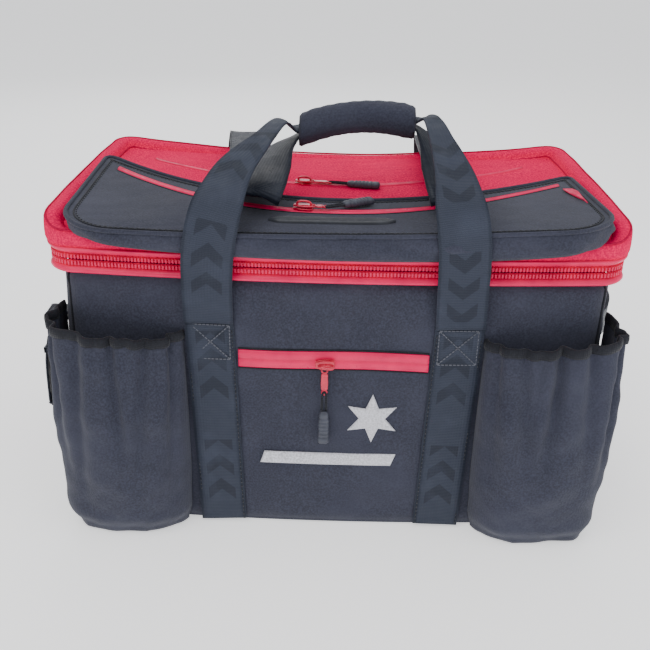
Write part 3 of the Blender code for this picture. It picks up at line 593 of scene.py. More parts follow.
def pouch_fullness(v):
    """How far the pouch stands off the front, and how wide it is, at share v of its height."""
    for (v0, a0, b0), (v1, a1, b1) in zip(POUCH_LEVELS, POUCH_LEVELS[1:]):
        if v <= v1:
            t = ramp(v, v0, v1)
            return a0 + (a1 - a0) * t, b0 + (b1 - b0) * t
    return POUCH_LEVELS[-1][1:]


def pouch_folds(side):
    """Each fold is (place along the pouch, drift, half width, depth, reach down from the top)."""
    draw = random.Random(11 if side < 0 else 23)
    folds = []
    for i in range(8):
        folds.append(((i + 0.5 + draw.uniform(-0.3, 0.3)) / 8, draw.uniform(-0.03, 0.03),
                      draw.uniform(0.018, 0.030), draw.uniform(0.0014, 0.0030), draw.uniform(0.18, 0.50)))
    for place, drift, depth in ((0.12, 0.05, 0.0055), (0.27, 0.10, 0.0060), (0.43, -0.04, 0.0048),
                                (0.58, 0.07, 0.0058), (0.74, -0.09, 0.0062), (0.90, -0.05, 0.0050)):
        folds.append((place + draw.uniform(-0.02, 0.02), drift, draw.uniform(0.022, 0.034),
                      depth, draw.uniform(0.70, 1.05)))
    return folds


def pouch_point(side, u, v, line, folds):
    """A point of the pouch at share u round it and share v up it, before its fabric's thickness."""
    stand, wide = pouch_fullness(v)
    k = u * (len(line) - 1)
    i = min(int(k), len(line) - 2)
    plan = line[i].lerp(line[i + 1], k - i)
    across = (line[i + 1] - line[i]).normalized()
    out = Vector((across.y, -across.x, 0))
    held = min(1.0, min(u, 1.0 - u) / 0.10)
    relief = 0.0
    for place, drift, width, depth, reach in folds:
        near = (u - place - drift * (1.0 - v)) / (width * (1.0 + 0.8 * (1.0 - v)))
        relief -= depth * math.exp(-near * near) * ramp(v, 1.0 - reach, 1.0 - reach * 0.35)
    relief += 0.0030 * bump_noise((plan.x * 1.2, v * 0.16, side), 24.0, 1.0 + side) * (1.0 - 0.5 * v)
    relief += 0.0010 * bump_noise((plan.x, v * 0.2, 0.3), 70.0, 3.0 + side) + 0.0022 * ramp(v, 0.2, 0.7)
    y = plan.y + 0.1350
    y = -0.1350 + (y * stand if y < 0 else y)
    x = -0.176 + (plan.x + 0.176) * (wide if u > 0.06 else 1.0 - (1.0 - wide) * u / 0.06)
    tuck = 0.010 * (1.0 - ramp(v, 0.0, 0.10)) * (0.4 + 0.6 * abs(math.sin(u * 9.0)))
    top = 0.2015 - 0.0100 * ramp(u, 0.10, 0.95) - 0.0030 * math.sin(math.pi * u)
    z = 0.0015 + (top - 0.0015) * v + 0.0009 * v ** 6 * math.sin(u * 23.0 + side)
    point = Vector((x, y, z)) + out * (relief - tuck * 0.5) * held
    return Vector((point.x * -side, point.y, point.z))


def make_pouch(side):
    word = "left" if side < 0 else "right"
    line = resample(smooth_route([(x, y, 0.0) for x, y in POUCH_PLAN], 8), 60)
    folds = pouch_folds(side)
    columns, rows = 150, 62
    face = [[pouch_point(side, c / (columns - 1), r / (rows - 1), line, folds) for c in range(columns)]
            for r in range(rows)]
    centre = Vector((0.176 * side, -0.140, 0.0015))
    floor = [[centre.lerp(p, k) for p in face[0]] for k in (0.15, 0.45, 0.75, 0.93)]
    pouch = thicken(grid(f"{word}_pouch", floor + face, MATERIALS["charcoal"]), 0.0011)
    width = sum((b - a).length for a, b in zip(face[30], face[30][1:]))
    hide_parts(f"{word}_bellows_pocket")
    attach(pouch, "bag_body")

    hem = []
    for lift, out in ((-0.0075, 0.0004), (-0.0070, 0.0016), (-0.0035, 0.0019), (0.0, 0.0015),
                      (0.0010, 0.0002), (0.0006, -0.0012), (-0.0035, -0.0018), (-0.0075, -0.0016)):
        row = []
        for c, p in enumerate(face[-1]):
            a, b = face[-1][max(c - 1, 0)], face[-1][min(c + 1, columns - 1)]
            along = Vector((b.x - a.x, b.y - a.y, 0)).normalized()
            normal = Vector((along.y, -along.x, 0)) * (1 if side < 0 else -1)
            ruffle = 1.0 + 0.10 * math.sin(c * 0.62)
            row.append(p + normal * out * ruffle + Vector((0, 0, lift)))
        hem.append(row)
    hem.append(hem[0])
    binding = grid(f"{word}_pouch_binding", hem, MATERIALS["black"])
    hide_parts(f"{word}_pocket_binding")
    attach(binding, "bag_body")


# ---------------------------------------------------------------- webbing
def strap(name, route, widths, aims, material, thick=WEBBING, curl=0.0, columns=7, steps=4, start=0.0):
    """Flat webbing along route; aims says which way its width lies. Its UV runs in metres."""
    fine = smooth_route(route, steps)
    rows, uvs, run = [], [], start
    last = len(fine) - 1
    for i, point in enumerate(fine):
        k, t = divmod(i, steps)
        after = min(k + 1, len(route) - 1)
        k = min(k, len(route) - 1)
        width = widths[k] + (widths[after] - widths[k]) * t / steps
        aim = Vector(aims[k]).lerp(Vector(aims[after]), t / steps)
        tangent = (fine[min(i + 1, last)] - fine[max(i - 1, 0)]).normalized()
        across = (aim - tangent * aim.dot(tangent)).normalized()
        normal = tangent.cross(across)
        run += (point - fine[i - 1]).length if i else 0.0
        row = []
        for c in range(columns):
            s = 2.0 * c / (columns - 1) - 1.0
            arch = curl * (1.0 - s * s) + 0.0004 * math.sin(run * 70.0 + s * 2.0)
            row.append(point + across * s * width / 2 + normal * arch)
            uvs.append((s * width / 2, run))
        rows.append(row)
    obj = grid(name, rows, material, uvs=uvs)
    return settle(obj, ("SOLIDIFY", {"thickness": thick, "offset": 0.0}))


def strap_x(z, sew_z):
    return 0.0953 + 0.0063 * z / sew_z


def sewn_box(name, centre, x_way, half_w, low, high, y_at, body):
    """Box with a cross in it, sewn through a strap's end."""
    corners = [(-half_w, low), (half_w, low), (half_w, high), (-half_w, high)]
    lines = [(0, 1), (1, 2), (2, 3), (3, 0), (0, 2), (1, 3)]
    blocks = []
    for a, b in lines:
        (x0, z0), (x1, z1) = corners[a], corners[b]
        count = max(2, int(math.hypot(x1 - x0, z1 - z0) / 0.0030))
        for i in range(count):
            t = (i + 0.5) / count
            x, z = centre + (x0 + (x1 - x0) * t) * x_way, z0 + (z1 - z0) * t
            along = Vector(((x1 - x0) * x_way, 0, z1 - z0)).normalized()
            outward = Vector((0, -1 if y_at(x, z) < 0 else 1, 0))
            across = along.cross(outward).normalized()
            blocks.append(block((x, y_at(x, z), z), (along, across, outward), (0.0011, 0.0004, 0.0004)))
    obj = many_blocks(name, blocks, MATERIALS["thread_grey"])
    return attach(obj, body)


def make_sewn_straps():
    for side, sign in (("left", -1), ("right", 1)):
        for face, y_of, sew_z in (("front", front_y, SEW_Z), ("back", back_y, 0.239)):
            off = 0.0016
            zs = heights(0.003, sew_z, 14)
            route = [Vector((sign * strap_x(z, sew_z), y_of(strap_x(z, sew_z), z, off), z)) for z in zs]
            name = f"{face}_{side}_strap"
            obj = strap(name, route, [0.040] * len(zs), [(1, 0, 0)] * len(zs), MATERIALS["webbing"])
            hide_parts(f"{face}_{side}_webbing")
            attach(obj, "bag_body")
            out = lambda x, z, y_of=y_of: y_of(x, z, off + 0.0011)
            sewn_box(f"{face}_{side}_cross_stitch", sign * strap_x(sew_z - 0.018, sew_z), 1, 0.0160,
                     sew_z - 0.034, sew_z - 0.003, out, "bag_body")
            for edge, shift in (("inner", -0.0182), ("outer", 0.0182)):
                line = [Vector((sign * (strap_x(z, sew_z) + shift), out(strap_x(z, sew_z) + shift, z), z))
                        for z in heights(0.006, sew_z - 0.004, 30)]
                stitches(f"{face}_{side}_{edge}_edge_stitches", line, MATERIALS["thread_dark"], "bag_body",
                         normal=(0, -1 if face == "front" else 1, 0))


# ---------------------------------------------------------------- main zip
def zip_order(plan=ZIP):
    """Indices of the outline's points that the zip follows, from the left end's back to the right's."""
    raw = outline(plan)[0]
    inside = [i for i, (_, y) in enumerate(raw) if y < ZIP_STOP_Y]
    left = [i for i in inside if i > len(raw) // 2]
    return left + [i for i in inside if i <= len(raw) // 2]


def zip_rows(profile, plan=ZIP):
    """Lines along the zip, one for each (offset, height) of its cross section."""
    order = zip_order(plan)
    lines = [ring(plan, out, z) for out, z in profile]
    return [[line[i] for i in order] for line in lines]


def zip_tape(name, profile, node):
    rows = zip_rows(profile)
    obj = grid(name, rows + [rows[0]], MATERIALS["tape"])
    settle(obj, ("SUBSURF", {"levels": 1}))
    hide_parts(node)
    return obj


def zip_teeth(name, low, high, node, body, lean):
    """One row of moulded teeth on its backing tape."""
    line = zip_rows([(0.0, (low + high) / 2)])[0]
    total = sum((b - a).length for a, b in zip(line, line[1:]))
    count = int(total / 0.0027)
    points = resample(line, count)
    blocks = []
    for i in range(1, count - 1):
        along = (points[i + 1] - points[i - 1]).normalized()
        out = Vector((along.y, -along.x, 0))
        half_high = (high - low) / 2
        blocks.append(block(points[i] + out * 0.0007, (along, Vector((0, 0, 1)), out),
                            (0.00092, half_high * 0.88, 0.0012), 0.72))
    teeth = many_blocks(name, blocks, MATERIALS["teeth"])
    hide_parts(node)
    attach(teeth, body)
    lip = -lean * 0.0004
    rows = zip_rows([(-0.0010, low + lip), (-0.0003, low + lip),
                     (-0.0003, high + lip), (-0.0010, high + lip)])
    backing = grid(name + "_backing", rows + [rows[0]], MATERIALS["tape"])
    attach(backing, body)


def make_main_zip():
    low = [(-0.0080, 0.2402), (-0.0020, 0.2398), (0.0012, 0.2392), (0.0031, 0.2400), (0.0034, 0.2421),
           (0.0022, 0.2440), (0.0006, 0.2450), (-0.0012, 0.2452), (-0.0012, 0.2436), (-0.0060, 0.2412)]
    high = [(-0.0012, 0.2556), (0.0006, 0.2558), (0.0022, 0.2568), (0.0036, 0.2586), (0.0044, 0.2604),
            (0.0034, 0.2614), (0.0008, 0.2610), (-0.0012, 0.2600)]
    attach(zip_tape("lower_coated_tape", low, "lower_zip_tape"), "bag_body")
    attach(zip_tape("upper_coated_tape", high, "upper_zip_tape"), "lid")
    zip_teeth("lower_teeth_row", 0.2452, 0.2503, "lower_zip_teeth", "bag_body", 1)
    zip_teeth("upper_teeth_row", 0.2506, 0.2556, "upper_zip_teeth", "lid", -1)

    raw = outline(ZIP)[0]
    order = [i for i, (_, y) in enumerate(raw) if y >= ZIP_STOP_Y - 0.004]
    rows = []
    for out, z in ((-0.0006, 0.2385), (0.0004, 0.2405), (0.0022, 0.2440), (0.0028, 0.2475), (0.0026, 0.2510),
                   (0.0028, 0.2545), (0.0030, 0.2580), (0.0026, 0.2605), (0.0010, 0.2620)):
        line = ring(ZIP, out, z)
        rows.append([line[i] for i in order])
    fold = thicken(grid("hinge_fabric", rows, MATERIALS["crimson"]), 0.0012, offset=-1.0)
    settle(fold, ("SUBSURF", {"levels": 1}))
    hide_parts("hinge_strip")
    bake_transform(fold)


# ---------------------------------------------------------------- lid
def rear_sag(x, y):
    """The padded rear rim hangs lower at its middle."""
    return -0.0155 * ramp(y, 0.02, 0.13) * max(0.0, 1.0 - (x / 0.225) ** 2)


def lid_surface(x, y):
    """Height of the recessed panel, softly slack."""
    return (0.2738 + rear_sag(x, y) * 0.42 + 0.0009 * bump_noise((x, y, 0.0), 15.0, 2.0)
            + 0.0004 * bump_noise((x, y, 0.0), 40.0, 4.0))


def front_fade(y):
    """The rim dies away under the lid pocket at the front."""
    return -0.0095 * ramp(-y, 0.108, 0.140)


# how far out, how high, and how much of the rear sag and the front fade each line of the lid takes
LID_PROFILE = ((-0.0010, 0.2596, 0.0), (0.0012, 0.2610, 0.0), (0.0021, 0.2650, 0.12), (0.0021, 0.2700, 0.40),
               (0.0019, 0.2745, 0.65), (0.0016, 0.2785, 0.86), (0.0013, 0.2815, 1.0), (0.0004, 0.2828, 1.0),
               (-0.0020, 0.2834, 1.0), (-0.0050, 0.2836, 1.0), (-0.0082, 0.2830, 1.0), (-0.0108, 0.2812, 1.0),
               (-0.0124, 0.2780, 0.9), (-0.0132, 0.2752, 0.8))


def rim_height(z, share):
    return lambda x, y: (z + share * (rear_sag(x, y) + front_fade(y)
                                      + 0.0007 * bump_noise((x, y, 0.2), 22.0, 1.0)))


def make_lid():
    rows = [ring(LID, lambda x, y, out=out, z=z: out + 0.0006 * bump_noise((x, y, z), 24.0, 5.0),
                 rim_height(z, share)) for out, z, share in LID_PROFILE]
    edge = ring(LID, -0.0150, 0.0)
    for k in (1.0, 0.97, 0.92, 0.85, 0.76, 0.66, 0.55, 0.44, 0.33, 0.22, 0.12, 0.03):
        rows.append([Vector((p.x * k, p.y * k, lid_surface(p.x * k, p.y * k))) for p in edge])
    cover = grid("lid_cover", rows, MATERIALS["crimson"], wrap=True, caps=(-1,))
    thicken(cover, 0.0016)
    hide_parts("lid_band", "lid_panel", "lid_rim_roll", "lid_foam")
    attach(cover, "lid")
    tree = tree_of(cover)

    low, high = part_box("lid_lining")
    under = [ring(LID, -0.0040, 0.2604), ring(LID, -0.0052, low.z + 0.0004)]
    inner = ring(LID, -0.0070, 0.0)
    for k in (0.98, 0.93, 0.85, 0.74, 0.62, 0.50, 0.38, 0.26, 0.14, 0.03):
        under.append([Vector((p.x * k, p.y * k, low.z + 0.0012 + 0.0007 * bump_noise(p * k, 24.0, 3.0)))
                      for p in inner])
    quilt = thicken(grid("lid_inner_lining", under, MATERIALS["lining"], wrap=True, caps=(-1,)), 0.0008, 0.0)
    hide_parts("lid_lining")
    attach(quilt, "lid")

    for name, out, z, radius in (("outer", -0.0002, 0.2832, 0.0009), ("inner", -0.0131, 0.2756, 0.0008)):
        bead = tube(f"lid_rim_{name}_seam", ring(LID, out, rim_height(z, 0.95)), radius,
                    MATERIALS["crimson_dark"], closed=True, sides=6)
        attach(bead, "lid")
    return tree


# ---------------------------------------------------------------- padded pocket on the lid
POCKET_HALF_X = 0.2160
POCKET_FRONT_Y = -0.1565
POCKET_SEAM = 300          # points round the pocket's edge


def sag(x):
    return (x / SWEEP_AT) ** 2


# how far the lid pocket and the two lid zips rise or sweep back from the middle to the ends
POCKET_RISE, POCKET_ZIP_SWEEP, REAR_ZIP_SWEEP = 0.0055, 0.089, 0.095


def pocket_top(x, y=-0.070):
    """Height of the pocket's top; the soft lid is twisted, so two opposite corners stand higher."""
    return 0.2810 + POCKET_RISE * sag(x) - 0.0045 * (x / SWEEP_AT) * (y + 0.070) / 0.085


def pocket_zip_y(x):
    return -0.101 + POCKET_ZIP_SWEEP * sag(x)


def rear_zip_y(x):
    return 0.005 + REAR_ZIP_SWEEP * sag(x)


def pocket_back(x):
    return -0.065 + 0.074 * sag(x)


def come_in(x, radius):
    """How far a rounded corner of the pocket has come in at x."""
    over = max(0.0, abs(x) - (POCKET_HALF_X - radius))
    return radius - math.sqrt(max(0.0, radius ** 2 - over ** 2))


def pocket_outline():
    """The pocket's top edge in plan, evenly spaced, from the middle of its front."""
    xs = [POCKET_HALF_X * math.sin(math.pi / 2 * i / 80) for i in range(81)]
    front = [Vector((x, POCKET_FRONT_Y + come_in(x, 0.045), 0)) for x in xs]
    back = [Vector((x, pocket_back(x) - come_in(x, 0.012), 0)) for x in reversed(xs)]
    right = front + back
    left = [Vector((-p.x, p.y, 0)) for p in reversed(right[1:-1])]
    return resample(right + left, POCKET_SEAM, closed=True)


def outward(points):
    """Unit normals of a closed plan line that runs anticlockwise."""
    normals = []
    for i in range(len(points)):
        along = points[(i + 1) % len(points)] - points[i - 1]
        normals.append(Vector((along.y, -along.x, 0)).normalized())
    return normals


def drawn_in(p, k):
    """A point of the pocket's edge moved towards the pocket's middle."""
    share = (p.y - POCKET_FRONT_Y) / (pocket_back(p.x) - POCKET_FRONT_Y)
    x = p.x * k
    return x, POCKET_FRONT_Y + (pocket_back(x) - POCKET_FRONT_Y) * (0.5 + (share - 0.5) * k)


def pocket_foot(p):
    """Height of the gusset's lower edge: it droops over the lid's front edge."""
    return 0.2728 - 0.0115 * ramp(-p.y, 0.125, 0.152) * max(0.0, 1.0 - (p.x / 0.190) ** 2) ** 0.7


def puffed(obj, held, voxel, pressure, cap, frames=20):
    """Inflates a remeshed copy with Cloth, held near some points, and moves the mesh as the copy moved."""
    proxy = add_mesh("cloth_proxy", [v.co[:] for v in obj.data.vertices],
                     [q.vertices[:] for q in obj.data.polygons],
                     MATERIALS["charcoal"])
    settle(proxy, ("REMESH", {"mode": "VOXEL", "voxel_size": voxel}))
    rest = [v.co.copy() for v in proxy.data.vertices]
    lines = kdtree.KDTree(len(held))
    for i, point in enumerate(held):
        lines.insert(point, i)
    lines.balance()
    seams = proxy.vertex_groups.new(name="seams")
    seams.add([i for i, point in enumerate(rest) if lines.find(point)[2] < voxel], 1.0, "REPLACE")
    cloth = proxy.modifiers.new("cloth", "CLOTH")
    cloth.settings.use_pressure = True
    cloth.settings.uniform_pressure_force = pressure
    cloth.settings.effector_weights.gravity = 0.0
    cloth.settings.vertex_group_mass = "seams"
    cloth.settings.quality = 5
    cloth.point_cache.frame_start, cloth.point_cache.frame_end = 1, frames
    scene = bpy.context.scene
    for number in range(1, frames + 1):
        scene.frame_set(number)
    settle(proxy)
    moves = [v.co - start for v, start in zip(proxy.data.vertices, rest)]
    moves = [m * min(1.0, cap / max(m.length, 1e-9)) for m in moves]
    scene.frame_set(1)
    cells = kdtree.KDTree(len(rest))
    for i, point in enumerate(rest):
        cells.insert(point, i)
    cells.balance()
    for vertex in obj.data.vertices:
        total, weight = Vector((0, 0, 0)), 0.0
        for _, i, distance in cells.find_n(vertex.co, 6):
            share = 1.0 / (distance + voxel * 0.5)
            total += moves[i] * share
            weight += share
        vertex.co += total / weight
    bpy.data.objects.remove(proxy)
    return obj


def tree_of(obj):
    return BVHTree.FromPolygons([v.co[:] for v in obj.data.vertices],
                                [p.vertices[:] for p in obj.data.polygons])


def laid(tree, points, lift, fallback):
    """The points dropped onto a surface from above, lifted a little."""
    result = []
    for p in points:
        hit = tree.ray_cast(Vector((p[0], p[1], 0.40)), Vector((0, 0, -1)))[0]
        result.append(Vector((p[0], p[1], (hit.z if hit else fallback(p[0])) + lift)))
    return result


def flat_zip(name, line_at, stations, drop, node, body, half=0.0048):
    """Coated zip lying on a surface: two lips that meet over the hidden coil."""
    profile = ((-1.0, -0.0004), (-0.94, 0.0006), (-0.50, 0.0010), (-0.14, 0.0014), (0.0, 0.0004),
               (0.14, 0.0014), (0.50, 0.0010), (0.94, 0.0006), (1.0, -0.0004))
    rows = []
    for across, lift in profile:
        rows.append(drop([(x, line_at(x) + across * half) for x in stations], lift))
    obj = grid(name, rows, MATERIALS["tape"])
    thicken(obj, 0.0007)
    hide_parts(node)
    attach(obj, body)


def make_lid_pocket(lid_tree):
    edge = pocket_outline()
    normals = outward(edge)
    rows, seams = [], []
    for k, lift in ((0.25, 0.0002), (0.70, 0.0002), (0.93, 0.0)):
        rows.append([Vector((*drawn_in(p, k), 0.2726 + lift)) for p in edge])
    for t in (0.0, 0.12, 0.28, 0.46, 0.64, 0.82, 0.94, 1.0):
        row = []
        for p, n in zip(edge, normals):
            foot, top = pocket_foot(p), pocket_top(p.x, p.y)
            swell = math.sin(math.pi * t)
            tall = (top - foot) / 0.020
            crumple = (bump_noise((p.x, p.y, t * 0.035), 42.0, 7.0)
                       + 0.6 * bump_noise((p.x, p.y, t * 0.05), 90.0, 3.0))
            out = swell * (0.0030 * tall + 0.0036 * tall * crumple) - 0.0012 * (1 - t)
            row.append(Vector((p.x + n.x * out, p.y + n.y * out, foot + (top - foot) * t)))
        if t in (0.0, 1.0):
            seams.append(len(rows))
        rows.append(row)
    for k in (0.985, 0.955, 0.90, 0.82, 0.72, 0.61, 0.50, 0.39, 0.28, 0.17, 0.07):
        row = []
        for p in edge:
            x, y = drawn_in(p, k)
            slack = 0.0006 * bump_noise((x, y, 0.0), 18.0, 9.0) * (1.0 - k ** 6)
            row.append(Vector((x, y, pocket_top(x, y) + 0.0006 * (1.0 - k ** 8) + slack)))
        rows.append(row)
    pocket = grid("lid_pocket_pad", rows, MATERIALS["charcoal"], wrap=True, caps=(0, -1))
    held = [point for row in (0, 1, 2, *seams) for point in rows[row]]
    puffed(pocket, held, 0.0045, 4.0, 0.0010)
    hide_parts("lid_pocket_body", "lid_pocket_top")
    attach(pocket, "lid")
    tree = tree_of(pocket)

    def drop(points, lift):
        return laid(tree, points, lift, pocket_top)

    welt = [Vector((p.x, p.y, pocket_top(p.x, p.y) + 0.0004)) for p in edge]
    bead = tube("lid_pocket_edge_piping", welt, 0.0019, MATERIALS["charcoal"], closed=True, sides=8)
    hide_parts("lid_pocket_piping")
    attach(bead, "lid")
    # painted shade: the thin black line 6 mm inside the welt stands for the shade in the sunken stitch
    # groove; the stitches are drawn separately
    inset = [p - n * 0.0062 for p, n in zip(edge, normals)]
    groove = drop(inset, 0.0001)
    line = tube("lid_pocket_edge_groove_shade", groove, 0.0007, MATERIALS["black"], closed=True, sides=6)
    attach(line, "lid")
    line = drop(resample([p - n * 0.0080 for p, n in zip(edge, normals)], 300, closed=True), 0.0001)
    stitches("lid_pocket_top_stitches", line + line[:1], MATERIALS["thread_dark"], "lid")
    zipped = [-0.198 + 0.396 * i / 90 for i in range(91)]
    flat_zip("lid_pocket_coated_zip", pocket_zip_y, zipped, drop, "lid_pocket_zip_tape", "lid")
    for side in (-1, 1):
        # painted shade: a thin black line on each side of the lid pocket's zip stands for the shadow where
        # the zip's lips meet the pocket top
        shade = drop([(x, pocket_zip_y(x) + side * 0.0056) for x in zipped], -0.0001)
        line = tube(f"lid_pocket_{'front' if side < 0 else 'rear'}_seam", shade, 0.0007, MATERIALS["black"],
                    sides=6)
        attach(line, "lid")
    tail = []
    for i in range(13):
        t = i / 12
        twist = math.pi * t
        middle = Vector((0.2010 + 0.0050 * t, -0.034 - 0.048 * t, 0.0))
        wide = 0.0042 * (1.0 - 0.75 * t ** 2) * math.cos(twist * 0.6)
        across = [(middle.x + s * wide, middle.y + s * wide * 0.2) for s in (-1.0, 0.0, 1.0)]
        tail.append([p + Vector((0, 0, 0.0022 * math.sin(twist) * s)) for p, s in zip(drop(across, 0.0018),
                                                                                      (-0.3, 0.4, 1.0))])
    ribbon = thicken(grid("lid_pocket_zip_tail", tail, MATERIALS["tape"]), 0.0008, 0.0)
    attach(ribbon, "lid")

    def lid_drop(points, lift):
        return laid(lid_tree, points, lift, lambda x: 0.2738)

    flat_zip("lid_rear_coated_zip", rear_zip_y, [-0.186 + 0.372 * i / 90 for i in range(91)], lid_drop,
             "lid_rear_zip_tape", "lid", half=0.0040)
    return drop


def make_grab_strip(drop):
    """Moulded strip with pointed ends, a raised rim and a sunken middle."""
    cx, cy, half, wide = -0.004, -0.1250, 0.0500, 0.0058
    plan = []
    for sx, sy in ((-1, -1), (1, -1), (1, 1), (-1, 1)):
        steps = [(half - 0.014, wide), (half - 0.006, wide * 0.72), (half, wide * 0.10)]
        steps = steps if sx * sy < 0 else steps[::-1]
        plan += [(sx * x, sy * y) for x, y in steps]
    plan = resample([Vector((px, py, 0)) for px, py in plan], 96, closed=True)
    rows = []
    for inset, lift in ((0.0, -0.0010), (0.0, 0.0014), (0.0005, 0.0022), (0.0016, 0.0025), (0.0022, 0.0022),
                        (0.0026, 0.0009), (0.0034, 0.0007)):
        kx, ky = 1.0 - inset * 1.8 / half, max(0.05, 1.0 - inset / wide)
        rows.append(drop([(cx + p.x * kx, cy + p.y * ky) for p in plan], lift))
    strip = grid("lid_moulded_strip", rows, MATERIALS["rubber"], wrap=True, caps=(-1,))
    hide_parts("lid_grab_strip")
    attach(strip, "lid")


# ---------------------------------------------------------------- sliders and their pulls
def placed(frame_axes, origin, point):
    ax, ay, az = frame_axes
    return Vector(origin) + ax * point[0] + ay * point[1] + az * point[2]


def rounded_rows(stations, power=2.6, around=18):
    """Loops across local X: (x, half width, half thickness) with softly square corners."""
    rows = []
    for x, wide, thick in stations:
        row = []
        for k in range(around):
            t = 2 * math.pi * k / around
            c, s = math.cos(t), math.sin(t)
            row.append((x, wide * math.copysign(abs(c) ** (2 / power), c),
                        thick * math.copysign(abs(s) ** (2 / power), s)))
        rows.append(row)
    return rows


def bevelled(obj, width):
    return settle(obj, ("BEVEL", {"width": width, "segments": 2, "limit_method": "ANGLE"}))


def make_slider(name, axes, origin, hinge, hang, tab, cord, end, turn=0.0):
    """Two plates and a bridge; a red tab with an eye at each end; a doubled cord; a moulded end.

    The cord leaves the tab's tip turned by an angle of turn radians.
    """
    at = lambda p: placed(axes, origin, p)
    plan = [(-0.0080, -0.0026), (-0.0030, -0.0040), (0.0026, -0.0046), (0.0068, -0.0042), (0.0082, -0.0030),
            (0.0082, 0.0030), (0.0068, 0.0042), (0.0026, 0.0046), (-0.0030, 0.0040), (-0.0080, 0.0026)]
    parts = []
    for low, high, k in ((0.0004, 0.0017, 1.0), (0.0026, 0.0041, 0.97)):
        rows = [[at((x * k, y * k, z)) for x, y in plan] for z in (low, high)]
        parts.append(bevelled(grid("plate", rows, MATERIALS["red_metal"], wrap=True, caps=(0, -1)), 0.0004))
    corners, faces = block(at((0.0046, 0, 0.0021)), axes, (0.0022, 0.0014, 0.0012))
    parts.append(add_mesh("post", corners, faces, MATERIALS["red_metal"]))
    arch = [at((x, 0, z)) for x, z in ((-0.0050, 0.0038), (-0.0046, 0.0056), (-0.0025, 0.0068),
                                       (0.0010, 0.0071),
                                       (0.0042, 0.0068), (0.0062, 0.0056), (0.0066, 0.0038))]
    parts.append(tube("bridge", smooth_route(arch, 3), 0.0010, MATERIALS["red_metal"], sides=8))
    slider = join(f"{name}_slider_casting", parts)
    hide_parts(f"{name}_slider")
    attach(slider, f"{name}_slider")

    at = lambda p: placed(hang, hinge, p)
    parts = []
    for centre, radius in ((-0.0012, 0.0026), (tab - 0.0022, 0.0021)):
        eye = [at((centre + radius * math.cos(t), radius * math.sin(t), 0.0))
               for t in (2 * math.pi * k / 20 for k in range(20))]
        parts.append(tube("eye", eye, 0.0008, MATERIALS["red_metal"], closed=True, sides=8))
    rows = rounded_rows([(0.0010, 0.0014, 0.0006), (0.0028, 0.0027, 0.0008), (tab * 0.5, 0.0031, 0.0009),
                         (tab - 0.0055, 0.0029, 0.0008), (tab - 0.0040, 0.0016, 0.0006)], power=3.2)
    rows = [[at(p) for p in row] for row in rows]
    parts.append(grid("bar", rows, MATERIALS["red_metal"], wrap=True, caps=(0, -1)))
    tab_piece = join(f"{name}_red_tab", parts)
    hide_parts(f"{name}_pull_tab")
    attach(tab_piece, f"{name}_pull")

    ax, ay, az = hang
    bent = (ax * math.cos(turn) + ay * math.sin(turn), ay * math.cos(turn) - ax * math.sin(turn), az)
    tip = Vector(hinge) + ax * tab
    at = lambda p: placed(bent, tip, p)
    start = CORD_HALF * math.tan(turn) + cord
    line = [(start + 0.002, 0.0016, 0), (start - cord * 0.35, 0.0018, 0.0002), (-0.0010, 0.0013, 0.0003),
            (-0.0027, 0.0, 0.0004), (-0.0010, -0.0013, 0.0003), (start - cord * 0.35, -0.0018, 0.0002),
            (start + 0.002, -0.0016, 0)]
    loop = tube(f"{name}_pull_cord", [at(p) for p in smooth_route(line, 5)],
                0.0010, MATERIALS["black"], sides=8)
    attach(loop, f"{name}_pull")

    stations = [(0.0, 0.0021, 0.0014), (0.02, 0.0030, 0.0021), (0.10, 0.0040, 0.0027), (0.17, 0.0042, 0.0028),
                (0.19, 0.0038, 0.0024), (0.22, 0.0038, 0.0024), (0.24, 0.0043, 0.0029)]
    for k in range(5):
        mid = 0.32 + 0.115 * k
        stations += [(mid - 0.030, 0.0046, 0.0031), (mid - 0.018, 0.0044, 0.0027),
                     (mid + 0.018, 0.0044, 0.0027),
                     (mid + 0.030, 0.0046, 0.0031)]
    stations += [(0.90, 0.0048, 0.0030), (0.96, 0.0046, 0.0028),
                 (0.99, 0.0036, 0.0020), (1.0, 0.0020, 0.0010)]
    rows = rounded_rows([(start + s * end, w, h) for s, w, h in stations], power=3.0, around=20)
    grip = grid(f"{name}_moulded_end", [[at(p) for p in row] for row in rows], MATERIALS["pull"],
                wrap=True, caps=(0, -1))
    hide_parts(f"{name}_pull")
    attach(grip, f"{name}_pull")


def curve_frame(x, sweep, rise):
    along = Vector((1.0, 2 * sweep * x / SWEEP_AT ** 2, 2 * rise * x / SWEEP_AT ** 2)).normalized()
    up = (Vector((0, 0, 1)) - along * along.z).normalized()
    return along, up.cross(along), up


